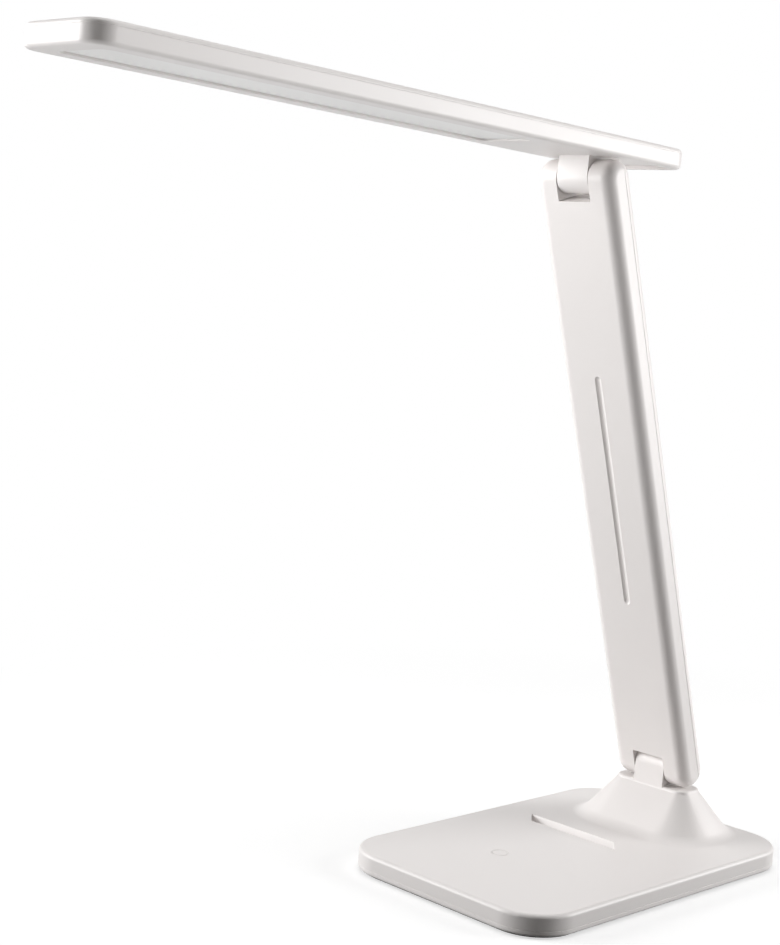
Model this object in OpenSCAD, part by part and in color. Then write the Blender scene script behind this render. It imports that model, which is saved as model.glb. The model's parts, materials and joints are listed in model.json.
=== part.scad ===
// Folding LED desk lamp: a weighted base with a flared neck, a flat arm with a
// fork at each end, and a long flat head. Both hinges are friction hinges.
// Origin: on the table, straight below the lower hinge axis. The lamp faces -Y.

/* [Base] */
// Width of the base
base_w = 117; // [104:1:140]
// Lower hinge axis to the front edge of the base
base_front = 149.5; // [140:0.5:175]
// Lower hinge axis to the rear edge of the base
base_back = 28; // [27:0.5:45]
// Height of the base's top face above the table
base_h = 10.2; // [10:0.1:14]
// Corner radius of the base, seen from above
base_corner_r = 22; // [14:1:30]
// Rounding of the base's top edge
base_top_r = 1.8; // [0.8:0.1:2.4]
// Rounding of the base's bottom edge
base_bottom_r = 1.2; // [0.5:0.1:1.6]
// Height of the joint between the two base shells
base_seam_z = 3.4; // [3.1:0.1:4]
// Wall of the base shells
base_wall = 1.8; // [1.4:0.1:2.2]
// Thickness of the rubber foot pad
pad_t = 1; // [0.6:0.1:1.2]
// How far the foot pad stays inside the base's edge
pad_inset = 2.4; // [1.5:0.1:6]

/* [Neck] */
// Height of the lower hinge axis above the table
hinge_z = 39; // [36:0.5:48]
// Widening of the neck per millimetre of height
neck_slope = 0.85; // [0.6:0.05:0.95]
// Radius of the hollow where the neck meets the base
neck_foot_r = 9.5; // [6:0.5:12]
// Rounding of the neck's shoulder
shoulder_r = 1.2; // [0.6:0.1:1.8]
// Gap between the neck's shoulder and the arm's ears
shoulder_gap = 0.7; // [0.5:0.1:1.5]

/* [Phone slot] */
// Length of the phone slot
slot_len = 49.5; // [40:0.5:70]
// Width of the phone slot at the base's top face
slot_w = 8.3; // [7.5:0.1:9.5]
// Depth of the phone slot
slot_depth = 4.4; // [3:0.1:4.6]
// Lean of the slot's rear wall, as run over the full depth
slot_lean = 2.6; // [1:0.1:3]
// How far the slot's ends run to the right over its width
slot_skew = 7.2; // [5:0.1:8]
// Distance from the lower hinge axis forward to the slot's rear edge
slot_y = 41.7; // [40:0.1:44]
// Distance of the slot's middle to the left of the lamp's middle
slot_x = 15.8; // [0:0.1:18]
// Wall round the slot's pocket
slot_wall = 1.2; // [0.8:0.1:1.6]

/* [Touch control] */
// Distance from the lower hinge axis forward to the touch mark
touch_y = 97.6; // [90:0.1:110]
// Distance of the touch mark to the left of the lamp's middle
touch_x = 9.8; // [0:0.1:20]
// Outer diameter of the touch mark's ring groove
touch_d = 8; // [6:0.5:14]
// Width of the ring groove
touch_line_w = 0.7; // [0.5:0.1:1]
// Depth of the ring groove
touch_line_depth = 0.3; // [0.2:0.05:0.5]

/* [Arm] */
// Distance between the two hinge axes
arm_len = 280; // [275:1:320]
// Width of the arm
arm_w = 41; // [37:0.5:46]
// Thickness of the arm
arm_t = 15.6; // [15.4:0.1:18]
// Rounding of the arm's long edges
arm_r = 5.3; // [4.8:0.1:5.6]
// Wall of the arm shells
arm_wall = 1.8; // [1.4:0.1:1.9]
// Lean of the arm towards the front when the lamp stands ready for use
arm_lean = 18.2; // [0:0.1:25]
// Width of each ear of the forks at the arm's ends
ear_w = 11.9; // [11.8:0.1:13]
// Gap between the notch's floor and the round end of the base's tongue
notch_gap = 0.6; // [0.4:0.1:1.5]
// Gap between a tongue and the ear on each side of it
tongue_gap = 0.3; // [0.2:0.05:0.5]
// How much flatter than round the end of the head's tongue is
tongue_flat = 1; // [0.4:0.1:1.2]
// Start of the ornamental groove, measured up from the lower hinge axis
groove_start = 87; // [60:1:110]
// Length of the ornamental groove
groove_len = 105.5; // [60:0.5:110]
// Width of the ornamental groove
groove_w = 3.4; // [2:0.1:4]
// Depth of the ornamental groove
groove_depth = 0.9; // [0.5:0.1:1]

/* [Head] */
// Upper hinge axis to the tip of the head
head_front = 267; // [240:1:268]
// Upper hinge axis to the tail of the head
head_back = 41.5; // [40:0.5:60]
// Width of the head
head_w = 45.6; // [45:0.2:60]
// Thickness of the head
head_t = 8.5; // [8.4:0.1:10]
// Corner radius of the head, seen from above
head_corner_r = 9; // [6:0.5:12]
// Rounding of the head's top edge
head_top_r = 2; // [1:0.1:2]
// Rounding of the head's bottom edge
head_bottom_r = 1.6; // [0.8:0.1:1.8]
// Wall of the head's sides
head_wall = 1.8; // [1.4:0.1:2]
// Thickness of the head's top cover
cover_t = 2; // [2:0.1:2.2]
// Thickness of the head's lower face
head_floor = 1.4; // [1.2:0.1:1.6]
// Gap between the head's lower face and the arm's ears
head_gap = 0.8; // [0.6:0.1:1.5]
// Rise of the head towards its tip when the lamp stands ready for use
head_rise = 2.7; // [-5:0.1:10]

/* [Light] */
// Width of the light window in the head's lower face
window_w = 28; // [26:0.5:32]
// Upper hinge axis to the rear end of the light window
window_start = 49; // [48:0.5:60]
// Rim between the front end of the light window and the tip
window_rim = 10.5; // [10:0.5:20]
// Thickness of the diffuser's edge
diffuser_t = 1.3; // [1:0.1:1.5]
// How far the diffuser's raised field reaches into the window
diffuser_rise = 0.6; // [0.3:0.1:1]
// Gap round the raised field of the diffuser
diffuser_gap = 0.6; // [0.3:0.1:1]
// Distance between neighbouring LEDs along the head
led_pitch = 11; // [9:0.5:16]
// Width of an LED package
led_w = 2.8; // [2:0.1:3]

/* [Tail panel] */
// Half of the tail opening's width
tail_half_w = 17; // [15:0.5:17.5]
// Rim between the tail opening and the tail
tail_rim = 4; // [3.6:0.1:6]
// Edge that the tail opening leaves round the tongue
tongue_land = 2; // [1.6:0.1:3]
// Thickness of the tail panel
tail_panel_t = 1.4; // [1:0.1:1.8]

/* [Hinge hardware] */
// Diameter of the hinge pins
pin_d = 4; // [3.6:0.1:4.2]
// Radial clearance between a pin and the lugs that turn on it
pin_clear = 0.05; // [0.02:0.01:0.1]
// Outer diameter of the hinge bushes
bush_d = 6.4; // [6:0.1:6.8]
// Outer diameter of the eyes that hold the bushes
eye_d = 9.2; // [8.8:0.1:9.4]
// Thickness of the spine's lugs
lug_t = 2; // [1.5:0.1:2.2]
// Gap between the parts of a hinge that slide on each other
slide_gap = 0.05; // [0.03:0.01:0.1]
// Thickness of a friction washer
washer_t = 0.7; // [0.5:0.05:0.8]
// Outer diameter of the friction and spring washers
washer_d = 9.4; // [9:0.1:10.4]
// Thickness of the pair of spring washers
spring_t = 1; // [0.8:0.1:1.1]
// Width of the hinge nut across its flats
nut_af = 7; // [6.5:0.5:8]
// Thickness of the hinge nut
nut_t = 2.8; // [2.4:0.1:3]
// Thickness of the pin's head
pin_head_t = 2.4; // [2:0.1:2.8]

/* [Steel parts] */
// Thickness of the ballast plate
ballast_t = 4.2; // [3:0.1:4.2]
// Side of the square foot of the hinge post
post_foot = 30; // [28:1:34]
// Thickness of the brackets' foot plates
foot_t = 1.8; // [1.5:0.1:2]
// Thickness of the stems that carry the eyes
stem_t = 6; // [4:0.5:7]
// Thickness of the arm's spine
spine_t = 1.6; // [1.2:0.1:1.8]

/* [Power inlet] */
// Distance of the power inlet's middle to the left edge of the base
inlet_edge = 22.5; // [21:0.5:24]
// Diameter of the power inlet's bore
inlet_d = 3.6; // [3.5:0.05:3.7]
// Depth of the power inlet's bore
inlet_depth = 9; // [8:0.5:10]

/* [Hidden] */
$fn = 48;

WHITE = [0.95, 0.95, 0.94];
OPAL = [0.98, 0.98, 0.95];
RUBBER = [0.16, 0.16, 0.17];
STEEL = [0.66, 0.67, 0.69];
BRASS = [0.80, 0.66, 0.36];
BOARD_GREEN = [0.10, 0.36, 0.22];
BLACK = [0.12, 0.12, 0.13];
LED_YELLOW = [0.95, 0.85, 0.45];
CABLE_GREY = [0.55, 0.55, 0.56];

// Fits and fasteners
fit_gap = 0.2;                             // loose fit between two parts of one body
lap = 0.5;                                 // how far joined solids run into each other
cut = 1;                                   // how far a cut runs past a face
screw_r = 1.2;
screw_hole_r = screw_r + 0.25;             // clearance hole
screw_pilot_r = screw_r;                   // hole that the thread bites into
screw_head_r = 2.5;
screw_head_t = 1.4;
screw_sink = 0.1;                          // how far a screw's head lies below the face
boss_r = 3.2;

// Base heights and plan
base_len = base_front + base_back;
base_mid_y = (base_back - base_front) / 2;
base_in_z = pad_t + base_wall;             // top of the bottom shell's floor
base_in_top = base_h - base_wall;          // underside of the base's top face
lip_h = 1.6;                               // rise of the bottom shell's lip above the joint
lip_t = 1;
screw_edge = 13;                           // base screws to the base's edges
boss_seat_z = base_in_z + lip_h;

// Hinges
notch_w = arm_w - 2 * ear_w;               // the notch between the two ears of a fork
tongue_w = notch_w - 2 * tongue_gap;
tongue_r = arm_t / 2 - 0.1;                // half a tongue's thickness, just inside the arm's faces
notch_depth = tongue_r + notch_gap;
shoulder_z = hinge_z - arm_t / 2 - shoulder_gap;
tongue_in_w = tongue_w - 2 * arm_wall;     // hollow of a tongue
bush_r = bush_d / 2;
pin_r = pin_d / 2;
lug_x = notch_w / 2 + arm_wall + fit_gap;  // inner face of the lug in each ear
lug_r = arm_t / 2 - arm_wall - 2 * fit_gap;
bush_half = lug_x - slide_gap;
washer_x = lug_x + lug_t + slide_gap;      // inner faces of the friction washers
spring_x = washer_x + washer_t;
nut_x = spring_x + spring_t;
pin_end = nut_x + nut_t + 0.4;
pin_head_r = nut_af / 2 + 0.6;

// Wires, which pass a hinge between the stem and the tongue's right wall
wire_d = 1.2;
wire_pitch = 1.6;
wire_side = 1.9;                           // outer wire's middle to the tongue's wall
wire_pair_x = [tongue_in_w / 2 - wire_side - wire_pitch, tongue_in_w / 2 - wire_side];
wire_hole_x = (wire_pair_x[0] + wire_pair_x[1]) / 2;
wire_hole_w = 3.6;
wire_hole_t = 3.4;
stem_left = -tongue_in_w / 2 + 0.5;
stem_right = wire_pair_x[0] - wire_d;

// Neck: corner centres, foot arc and slope
neck_cx = arm_w / 2 - arm_r;
neck_cy = arm_t / 2 - arm_r;
neck_straight_z = shoulder_z - shoulder_r - 0.1; // the slope starts below this height
slope_len = sqrt(1 + neck_slope * neck_slope);
foot_arc_z = base_h + neck_foot_r;
foot_arc_x = arm_r + neck_slope * (neck_straight_z - foot_arc_z) + neck_foot_r * slope_len;

// Hinge post in the base
post_seat_z = base_in_z + 1.2;             // top of the thicker floor under the post
post_mid_y = 3;
post_screw_edge = 4;

// Control board on the left of the post, with the power inlet at its rear end
board_t = 1;
board_w = 24;
board_l = 46;
inlet_x = base_w / 2 - inlet_edge;
board_x = 2 - inlet_x;
board_z = base_in_z + 0.8;
board_back = base_back - base_wall - lip_t - 1.5;
board_front = board_back - board_l;
board_top = board_z + board_t;
inlet_nose_r = 2.15;
inlet_body_w = 7;
inlet_body_l = inlet_depth + 1.5;
inlet_z = base_seam_z + inlet_nose_r + fit_gap + 0.3;
inlet_pin_r = 0.65;
lead_pad = [8, 30];                        // the base lead's pads, from the board's middle and front
lead_turn = [-8, 12];                      // where the base lead turns up into the neck, as x and y
lead_rise = [3, 8, 13];                    // heights of its bends above the post's foot
lead_step = 3;                             // run of a lead on and off a board

// Touch board and ballast
touch_board_w = 22;
touch_board_l = 16;
ballast_edge = 5;                          // room round the ballast, inside the shell
ballast_back = slot_y + slot_w + slot_wall + 3;

// Arm
part_y = arm_t / 2 - arm_r;                // the shells part where the rear rounding starts
arm_screw_s = [0.2, 0.8];                  // places of the screws, as shares of the arm's length
arm_boss_r = 3;
arm_screw_head_t = 0.8;
groove_r = (groove_w * groove_w / 4 + groove_depth * groove_depth) / (2 * groove_depth);
spine_half_w = lug_x + lug_t;
spine_web_y = arm_t / 2 - arm_wall - spine_t - 0.5; // front face of the spine's web
spine_flange = 4.4;                        // reach of the flanges in front of the hinge axes
spine_end = notch_depth + arm_wall + 3;    // the web ends this far from the hinge axes

// Head heights, measured up from the upper hinge axis
head_z = arm_t / 2 + head_gap;             // the head's lower face
head_top_z = head_z + head_t;
cover_z = head_top_z - cover_t;            // joint between frame and top cover
head_in_z = head_z + head_floor;           // upper face of the frame's floor
head_len = head_front + head_back;
head_mid_s = (head_front - head_back) / 2;
cover_lip_t = 0.8;
cover_lip_h = 1;

// Light
window_end = head_front - window_rim;
window_len = window_end - window_start;
window_mid = (window_start + window_end) / 2;
window_corner_r = 4;
diffuser_lap = 1.5;                        // how far the diffuser rests on the frame's floor
light_z = head_in_z + diffuser_t;          // back of the diffuser
light_wall = 0.9;
led_board_z = cover_z - board_t - fit_gap;
led_board_tail = 6;                        // board beyond the light frame, for the solder pads
led_t = 0.7;
led_rows = 2;
led_row_gap = 9;
led_margin = 5;                            // room between the window's end and the last LED
led_count = floor((window_len - 2 * led_margin) / led_pitch) + 1;

// Bracket in the head
bracket_w = 28;
bracket_front = 34;
bracket_z = head_in_z + 1;                 // top of the pad under the bracket
bracket_head_t = 1.1;
bracket_screw_s = [14, 30];

// Tail panel
tail_s = head_back - tail_rim;
tail_lap = 1.2;                            // how far the panel rests on the frame's floor
tail_screw_s = 24;
tail_screw_x = 11;
tail_head_r = 1.9;
tail_head_t = 0.7;
tail_screw_r = 0.9;
tail_boss_r = 2.4;
tail_boss_z = head_in_z + tail_panel_t;

// ---------------------------------------------------------------- helpers

// Rectangle of w by l with round corners, centred
module round_rect(w, l, r) {
    square([w - 2 * r, l], center = true);
    square([w, l - 2 * r], center = true);
    for (x = [-1, 1], y = [-1, 1])
        translate([x * (w / 2 - r), y * (l / 2 - r)]) circle(r);
}

// Quarter of a disc, in the first quadrant
module quarter(r) {
    intersection() {
        circle(r);
        square(r);
    }
}

// Half section of a plate: r outwards, h high, edges rounded at top and bottom
module edge_profile(r, h, top_r, bottom_r) {
    if (h > top_r + bottom_r) translate([0, bottom_r]) square([r, h - top_r - bottom_r]);
    if (top_r > 0) {
        translate([0, h - top_r]) square([r - top_r, top_r]);
        translate([r - top_r, h - top_r]) quarter(top_r);
    }
    if (bottom_r > 0) {
        square([r - bottom_r, bottom_r]);
        translate([r - bottom_r, bottom_r]) mirror([0, 1]) quarter(bottom_r);
    }
}

// Sweeps a half section (its child) round a rectangle of half sizes cx by cy
module around(cx, cy) {
    for (m = [0, 1]) {
        mirror([m, 0, 0]) translate([cx, cy, 0]) rotate([90, 0, 0])
            linear_extrude(2 * cy) children();
        mirror([0, m, 0]) translate([-cx, cy, 0]) rotate([90, 0, 90])
            linear_extrude(2 * cx) children();
    }
    for (mx = [0, 1], my = [0, 1])
        mirror([mx, 0, 0]) mirror([0, my, 0]) translate([cx, cy, 0])
            rotate_extrude(angle = 90) children();
}

// Block that fills the middle of such a sweep
module core(cx, cy, z0, z1) {
    translate([-cx, -cy, z0]) cube([2 * cx, 2 * cy, z1 - z0]);
}

// Plate of w by l by h with corner radius r and rounded edges, on z = 0
module soft_plate(w, l, h, r, top_r, bottom_r) {
    around(w / 2 - r, l / 2 - r) edge_profile(r, h, top_r, bottom_r);
    core(w / 2 - r, l / 2 - r, 0, h);
}

// Cylinder along X, centred on the axis
module x_rod(r, x0, x1) {
    translate([x0, 0, 0]) rotate([0, 90, 0]) cylinder(r = r, h = x1 - x0);
}

module ring(x0, x1, r) {
    difference() {
        x_rod(r, x0, x1);
        x_rod(pin_r, x0 - cut, x1 + cut);
    }
}

// Screw along Z: the head's top is at z = 0 and the shank points down
module screw(len, r, head_r, head_t) {
    difference() {
        union() {
            translate([0, 0, -head_t]) cylinder(r = head_r, h = head_t);
            translate([0, 0, -len]) cylinder(r = r, h = len);
        }
        for (a = [0, 90])
            rotate(a) cube([head_r * 1.2, head_r * 0.32, head_t], center = true);
    }
}

function unit(v) = v / norm(v);

// Wire along a list of points: an eight-sided ring at each point, joined by flat faces
module wire(points) {
    sides = 8;
    last = len(points) - 1;
    dirs = [for (i = [0 : last]) unit(points[min(i + 1, last)] - points[max(i - 1, 0)])];
    side = [for (d = dirs) unit(cross(d, [0.31, 0.17, -0.93]))];
    corners = [for (i = [0 : last], k = [0 : sides - 1])
        points[i] + wire_d / 2 * (cos(360 * k / sides) * side[i]
                                  + sin(360 * k / sides) * cross(dirs[i], side[i]))];
    skin = [for (i = [0 : last - 1], k = [0 : sides - 1], half = [0, 1])
        let (a = i * sides + k, b = i * sides + (k + 1) % sides)
            half == 0 ? [b, a, b + sides] : [b + sides, a, a + sides]];
    first_cap = [for (k = [0 : sides - 1]) k];
    last_cap = [for (k = [0 : sides - 1]) (last + 1) * sides - 1 - k];
    polyhedron(corners, concat(skin, [first_cap, last_cap]), convexity = 4);
}

// Frames of the three bodies
module on_base() translate([0, base_mid_y, 0]) children();
module on_lower_axis() translate([0, 0, hinge_z]) children();
module on_arm() on_lower_axis() rotate([arm_lean, 0, 0]) children();
module on_head() on_arm() translate([0, 0, arm_len]) rotate([-arm_lean - head_rise, 0, 0]) children();

// ------------------------------------------------------------------- base

// Half section of the neck, inset by off on every side
module neck_profile(off) {
    arc_r = neck_foot_r + off;
    tangent = [foot_arc_x - arc_r / slope_len, foot_arc_z - arc_r * neck_slope / slope_len];
    lip_r = arm_r - off;
    lip_z = neck_straight_z - off * (slope_len - 1) / neck_slope;
    round_z = shoulder_z - off - shoulder_r;
    low_z = base_h - off - cut;
    difference() {
        union() {
            polygon([[0, low_z], [foot_arc_x, low_z], [foot_arc_x, base_h - off], tangent,
                     [lip_r, lip_z], [lip_r, round_z], [0, round_z]]);
            translate([0, round_z]) square([lip_r - shoulder_r, shoulder_r]);
            translate([lip_r - shoulder_r, round_z]) quarter(shoulder_r);
        }
        translate([foot_arc_x, foot_arc_z]) circle(arc_r, $fn = 96);
    }
}

module neck_form(off) {
    around(neck_cx, neck_cy) neck_profile(off);
    core(neck_cx, neck_cy, base_h - off - cut, shoulder_z - off);
}

// The base in plan, inset by inset
module base_plan(inset) {
    round_rect(base_w - 2 * inset, base_len - 2 * inset, base_corner_r - inset);
}

// Upright column over the base's plan
module base_column(inset) {
    on_base() translate([0, 0, base_seam_z]) linear_extrude(hinge_z) base_plan(inset);
}

// Tongue on an axis along X: its end points up and is flatter than round by flat.
// It reaches down by drop, and is inset by off.
module tongue_form(flat, drop, off) {
    corner_r = tongue_r - flat - off;
    w = tongue_w - 2 * off;
    translate([-w / 2, 0, 0]) rotate([90, 0, 90]) linear_extrude(w) {
        for (y = flat > 0 ? [-flat, flat] : [0]) translate([y, 0]) circle(corner_r);
        if (flat > 0) translate([-flat, 0]) square([2 * flat, corner_r]);
        translate([off - tongue_r, -drop]) square([2 * (tongue_r - off), drop]);
    }
}

// Hole for the wires through the end of a tongue
module wire_hole() {
    translate([wire_hole_x - wire_hole_w / 2, -wire_hole_t / 2, bush_r + fit_gap])
        cube([wire_hole_w, wire_hole_t, tongue_r]);
}

// Section of the phone slot, as y and z; the rear wall leans
slot_section = [[-slot_y, base_h], [-slot_y - slot_lean, base_h - slot_depth],
                [-slot_y - slot_w, base_h - slot_depth], [-slot_y - slot_w, base_h]];

// Plan of the phone slot, longer than the slot is wide; its ends are askew
slot_left = -slot_x - slot_len / 2;
slot_plan = [[slot_left - slot_skew, slot_w - slot_y], [slot_left + 2 * slot_skew, -slot_y - 2 * slot_w],
             [slot_left + slot_len + 2 * slot_skew, -slot_y - 2 * slot_w],
             [slot_left + slot_len - slot_skew, slot_w - slot_y]];

module slot_space() {
    intersection() {
        translate([slot_left - cut, 0, 0]) rotate([90, 0, 90])
            linear_extrude(slot_len + slot_skew + 2 * cut) {
                polygon(slot_section);
                translate([-slot_y - slot_w, base_h - lap]) square([slot_w - lap, lap + cut]);
            }
        translate([0, 0, base_h - slot_depth - cut]) linear_extrude(slot_depth + 3 * cut)
            polygon(slot_plan);
    }
}

module slot_pocket() {
    front = -slot_y - slot_w - slot_wall;
    floor_z = base_h - slot_depth - slot_wall;
    translate([-slot_x - slot_len / 2 - slot_wall, 0, 0])
        rotate([90, 0, 90]) linear_extrude(slot_len + slot_skew + 2 * slot_wall)
            polygon([[front, base_in_top + lap], [front, floor_z],
                     [-slot_y - slot_lean + slot_wall, floor_z], [-slot_y + slot_wall, base_in_top + lap]]);
}

module at_base_screws() {
    for (x = [-1, 1], y = [-base_front + screw_edge, base_back - screw_edge])
        translate([x * (base_w / 2 - screw_edge), y, 0]) children();
}

module at_inlet() {
    translate([-inlet_x, base_back, inlet_z]) rotate([90, 0, 0]) children();
}

module base_top_shell() {
    neck_drop = hinge_z - shoulder_z + shoulder_r;
    color(WHITE) difference() {
        union() {
            difference() {
                union() {
                    on_base() translate([0, 0, base_seam_z])
                        soft_plate(base_w, base_len, base_h - base_seam_z, base_corner_r, base_top_r, 0);
                    intersection() {
                        neck_form(0);
                        base_column(base_top_r);
                    }
                    on_lower_axis() tongue_form(0, neck_drop, 0);
                }
                on_base() translate([0, 0, base_seam_z - cut])
                    linear_extrude(base_in_top - base_seam_z + cut) base_plan(base_wall);
                intersection() {
                    neck_form(base_wall);
                    base_column(base_wall + 1);
                }
                on_lower_axis() tongue_form(0, neck_drop + base_wall + cut, arm_wall);
            }
            slot_pocket();
            at_base_screws() translate([0, 0, boss_seat_z])
                cylinder(r = boss_r, h = base_in_top - boss_seat_z + lap);
        }
        slot_space();
        on_lower_axis() x_rod(bush_r + fit_gap, -tongue_w, tongue_w);
        on_lower_axis() wire_hole();
        at_base_screws() cylinder(r = screw_pilot_r, h = base_in_top - 0.6);
        at_inlet() cylinder(r = inlet_nose_r + fit_gap, h = 3 * base_wall, center = true);
        translate([-touch_x, -touch_y, base_h - touch_line_depth]) difference() {
            cylinder(d = touch_d, h = cut);
            translate([0, 0, -cut]) cylinder(d = touch_d - 2 * touch_line_w, h = 3 * cut);
        }
    }
}

module at_post_screws() {
    half = post_foot / 2 - post_screw_edge;
    for (x = [-1, 1], y = [-1, 1]) translate([x * half, post_mid_y + y * half, 0]) children();
}

module base_bottom_shell() {
    pad_half = post_foot / 2 + 1;
    color(WHITE) difference() {
        union() {
            difference() {
                on_base() translate([0, 0, pad_t])
                    soft_plate(base_w, base_len, base_seam_z - pad_t, base_corner_r, 0, base_bottom_r);
                on_base() translate([0, 0, base_in_z]) linear_extrude(base_seam_z) base_plan(base_wall);
            }
            on_base() translate([0, 0, base_in_z - lap])
                linear_extrude(base_seam_z + lip_h - base_in_z + lap) difference() {
                    base_plan(base_wall + fit_gap);
                    base_plan(base_wall + fit_gap + lip_t);
                }
            at_base_screws() translate([0, 0, base_in_z - lap])
                cylinder(r = boss_r, h = boss_seat_z - base_in_z + lap);
            translate([-pad_half, post_mid_y - pad_half, base_in_z - lap])
                cube([2 * pad_half, 2 * pad_half, post_seat_z - base_in_z + lap]);
        }
        at_base_screws() base_screw_hole();
        at_post_screws() base_screw_hole();
        translate([-inlet_x - inlet_body_w / 2 - fit_gap, board_back, base_in_z])
            cube([inlet_body_w + 2 * fit_gap, base_back - base_wall - board_back, base_h]);
    }
}

module base_screw_hole() {
    cylinder(r = screw_head_r + fit_gap, h = pad_t + screw_sink + screw_head_t);
    cylinder(r = screw_hole_r, h = base_h);
}

module base_screw(len) {
    translate([0, 0, pad_t + screw_sink]) rotate([180, 0, 0])
        screw(len, screw_r, screw_head_r, screw_head_t);
}

module foot_pad() {
    color(RUBBER) on_base() linear_extrude(pad_t) base_plan(pad_inset);
}

module ballast_plate() {
    plan_w = base_w - 2 * (base_wall + ballast_edge);
    plan_l = base_front - ballast_back - base_wall - ballast_edge;
    color(STEEL) difference() {
        translate([0, -ballast_back - plan_l / 2, base_in_z]) linear_extrude(ballast_t)
            round_rect(plan_w, plan_l, 10);
        at_base_screws() cylinder(r = boss_r + 1, h = base_h);
    }
}

module base_screws() {
    color(STEEL) at_base_screws() base_screw(base_in_top - pad_t - 1.2);
}

module hinge_post() {
    color(STEEL) difference() {
        union() {
            translate([-post_foot / 2, post_mid_y - post_foot / 2, post_seat_z])
                cube([post_foot, post_foot, foot_t]);
            translate([stem_left, -stem_t / 2, post_seat_z])
                cube([stem_right - stem_left, stem_t, hinge_z - post_seat_z]);
            on_lower_axis() x_rod(eye_d / 2, stem_left, stem_right);
        }
        on_lower_axis() x_rod(bush_r, -tongue_w, tongue_w);
        at_post_screws() cylinder(r = screw_pilot_r, h = base_h);
    }
}

module post_screws() {
    color(STEEL) at_post_screws() base_screw(post_seat_z + foot_t - pad_t - screw_sink);
}

module control_board() {
    leg_x = board_w / 2 - 3;
    color(BOARD_GREEN) difference() {
        union() {
            translate([0, 0, board_z]) linear_extrude(board_t) intersection() {
                translate([board_x - board_w / 2, board_front]) square([board_w, board_l]);
                translate([0, base_mid_y]) base_plan(base_wall + lip_t + 1.5);
            }
            for (x = [-1, 1], y = [6, board_l - 16])
                translate([board_x + x * leg_x, board_front + y, base_in_z]) cylinder(r = 1.4, h = board_t);
        }
        at_base_screws() cylinder(r = boss_r + 0.8, h = base_h);
        translate([-inlet_x - inlet_body_w / 2 - fit_gap, board_back - inlet_body_l, base_in_z])
            cube([inlet_body_w + 2 * fit_gap, 2 * inlet_body_l, base_h]);
    }
}

// Driver chip, coil and capacitors on the control board
module board_parts() {
    color(BLACK) {
        translate([board_x - 9, board_front + 6, board_top]) cube([7, 7, 1.6]);
        translate([board_x + 3, board_front + 7, board_top]) cube([5, 4, 1.4]);
        translate([board_x - 6, board_front + 22, board_top]) cylinder(r = 3.2, h = 2.6);
    }
    color(BRASS) for (i = [0 : 3])
        translate([board_x + 1 + 2.6 * i, board_front + 19, board_top]) cube([1.6, 3, 0.9]);
}

module touch_board() {
    color(BOARD_GREEN) translate([-touch_x, -touch_y, base_in_top - board_t / 2])
        cube([touch_board_w, touch_board_l, board_t], center = true);
}

// From the touch board, over the ballast and past the phone slot, to the control board
module touch_lead() {
    x0 = -touch_x - touch_board_w / 2 - 0.3;
    x1 = -slot_x - slot_len / 2 - slot_wall - 3;
    z = base_in_top - wire_d / 2 - 0.05;
    color(CABLE_GREY) wire([[x0, -touch_y, z], [x0 - 6, -touch_y + 3, z],
                            [x1, -ballast_back - 4, z], [x1, -slot_y, z],
                            [board_x - 6, board_front - 6, board_top + 1.2],
                            [board_x - 6, board_front + 3, board_top + wire_d / 2]]);
}

module power_inlet() {
    color(BLACK) at_inlet() difference() {
        union() {
            cylinder(r = inlet_nose_r, h = base_wall + 2 * lap);
            translate([-inlet_body_w / 2, base_in_z + 0.1 - inlet_z, base_wall + 2 * fit_gap])
                cube([inlet_body_w, base_in_top - base_in_z - 0.3, inlet_body_l]);
        }
        translate([0, 0, -cut]) cylinder(d = inlet_d, h = inlet_depth + cut);
    }
}

module inlet_pin() {
    color(BRASS) at_inlet() translate([0, 0, 1]) cylinder(r = inlet_pin_r, h = inlet_depth - 1);
}

// Pair of wires from the control board, up the neck and round the bush to the arm
module base_lead() {
    rear = stem_t / 2 + wire_d;
    gap_r = (bush_r + tongue_r - arm_wall) / 2;
    foot_z = post_seat_z + foot_t + wire_d;
    color(CABLE_GREY) for (i = [0, 1]) {
        x = wire_pair_x[i];
        out = i * (wire_d + 0.4);
        turn_y = lead_turn[1] + out;
        wire([[board_x + lead_pad[0] - out, board_front + lead_pad[1], board_top + wire_d / 2],
              [board_x + lead_pad[0] + lead_step - out, turn_y, board_top + 2 * wire_d],
              [lead_turn[0], turn_y, foot_z + lead_rise[0]],
              [x, turn_y - lead_step, foot_z + lead_rise[1]], [x, rear, foot_z + lead_rise[2]],
              [x, rear, hinge_z - 2], [x, gap_r * sin(60), hinge_z + gap_r * cos(60)],
              [x, gap_r * sin(25), hinge_z + gap_r * cos(25)], [x, 0.3, hinge_z + tongue_r - 0.6]]);
    }
}

// ----------------------------------------------------------- hinge hardware

module hinge_bush() {
    color(STEEL) difference() {
        x_rod(bush_r, -bush_half, bush_half);
        x_rod(pin_r, -bush_half - cut, bush_half + cut);
    }
}

module hinge_pin() {
    color(STEEL) {
        x_rod(pin_r, -spring_x, pin_end);
        x_rod(pin_head_r, -spring_x - pin_head_t, -spring_x);
    }
}

module friction_washers() {
    color(BRASS) {
        ring(-spring_x, -washer_x, washer_d / 2);
        ring(washer_x, spring_x, washer_d / 2);
    }
}

// Two dished spring washers, rim to rim
module spring_washers() {
    rim_r = washer_d / 2;
    color(STEEL) translate([spring_x, 0, 0]) rotate([0, 90, 0]) difference() {
        union() {
            cylinder(r1 = rim_r - 0.5, r2 = rim_r, h = spring_t / 2);
            translate([0, 0, spring_t / 2]) cylinder(r1 = rim_r, r2 = rim_r - 0.5, h = spring_t / 2);
        }
        translate([0, 0, -cut]) cylinder(r = pin_r, h = spring_t + 2 * cut);
    }
}

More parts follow.
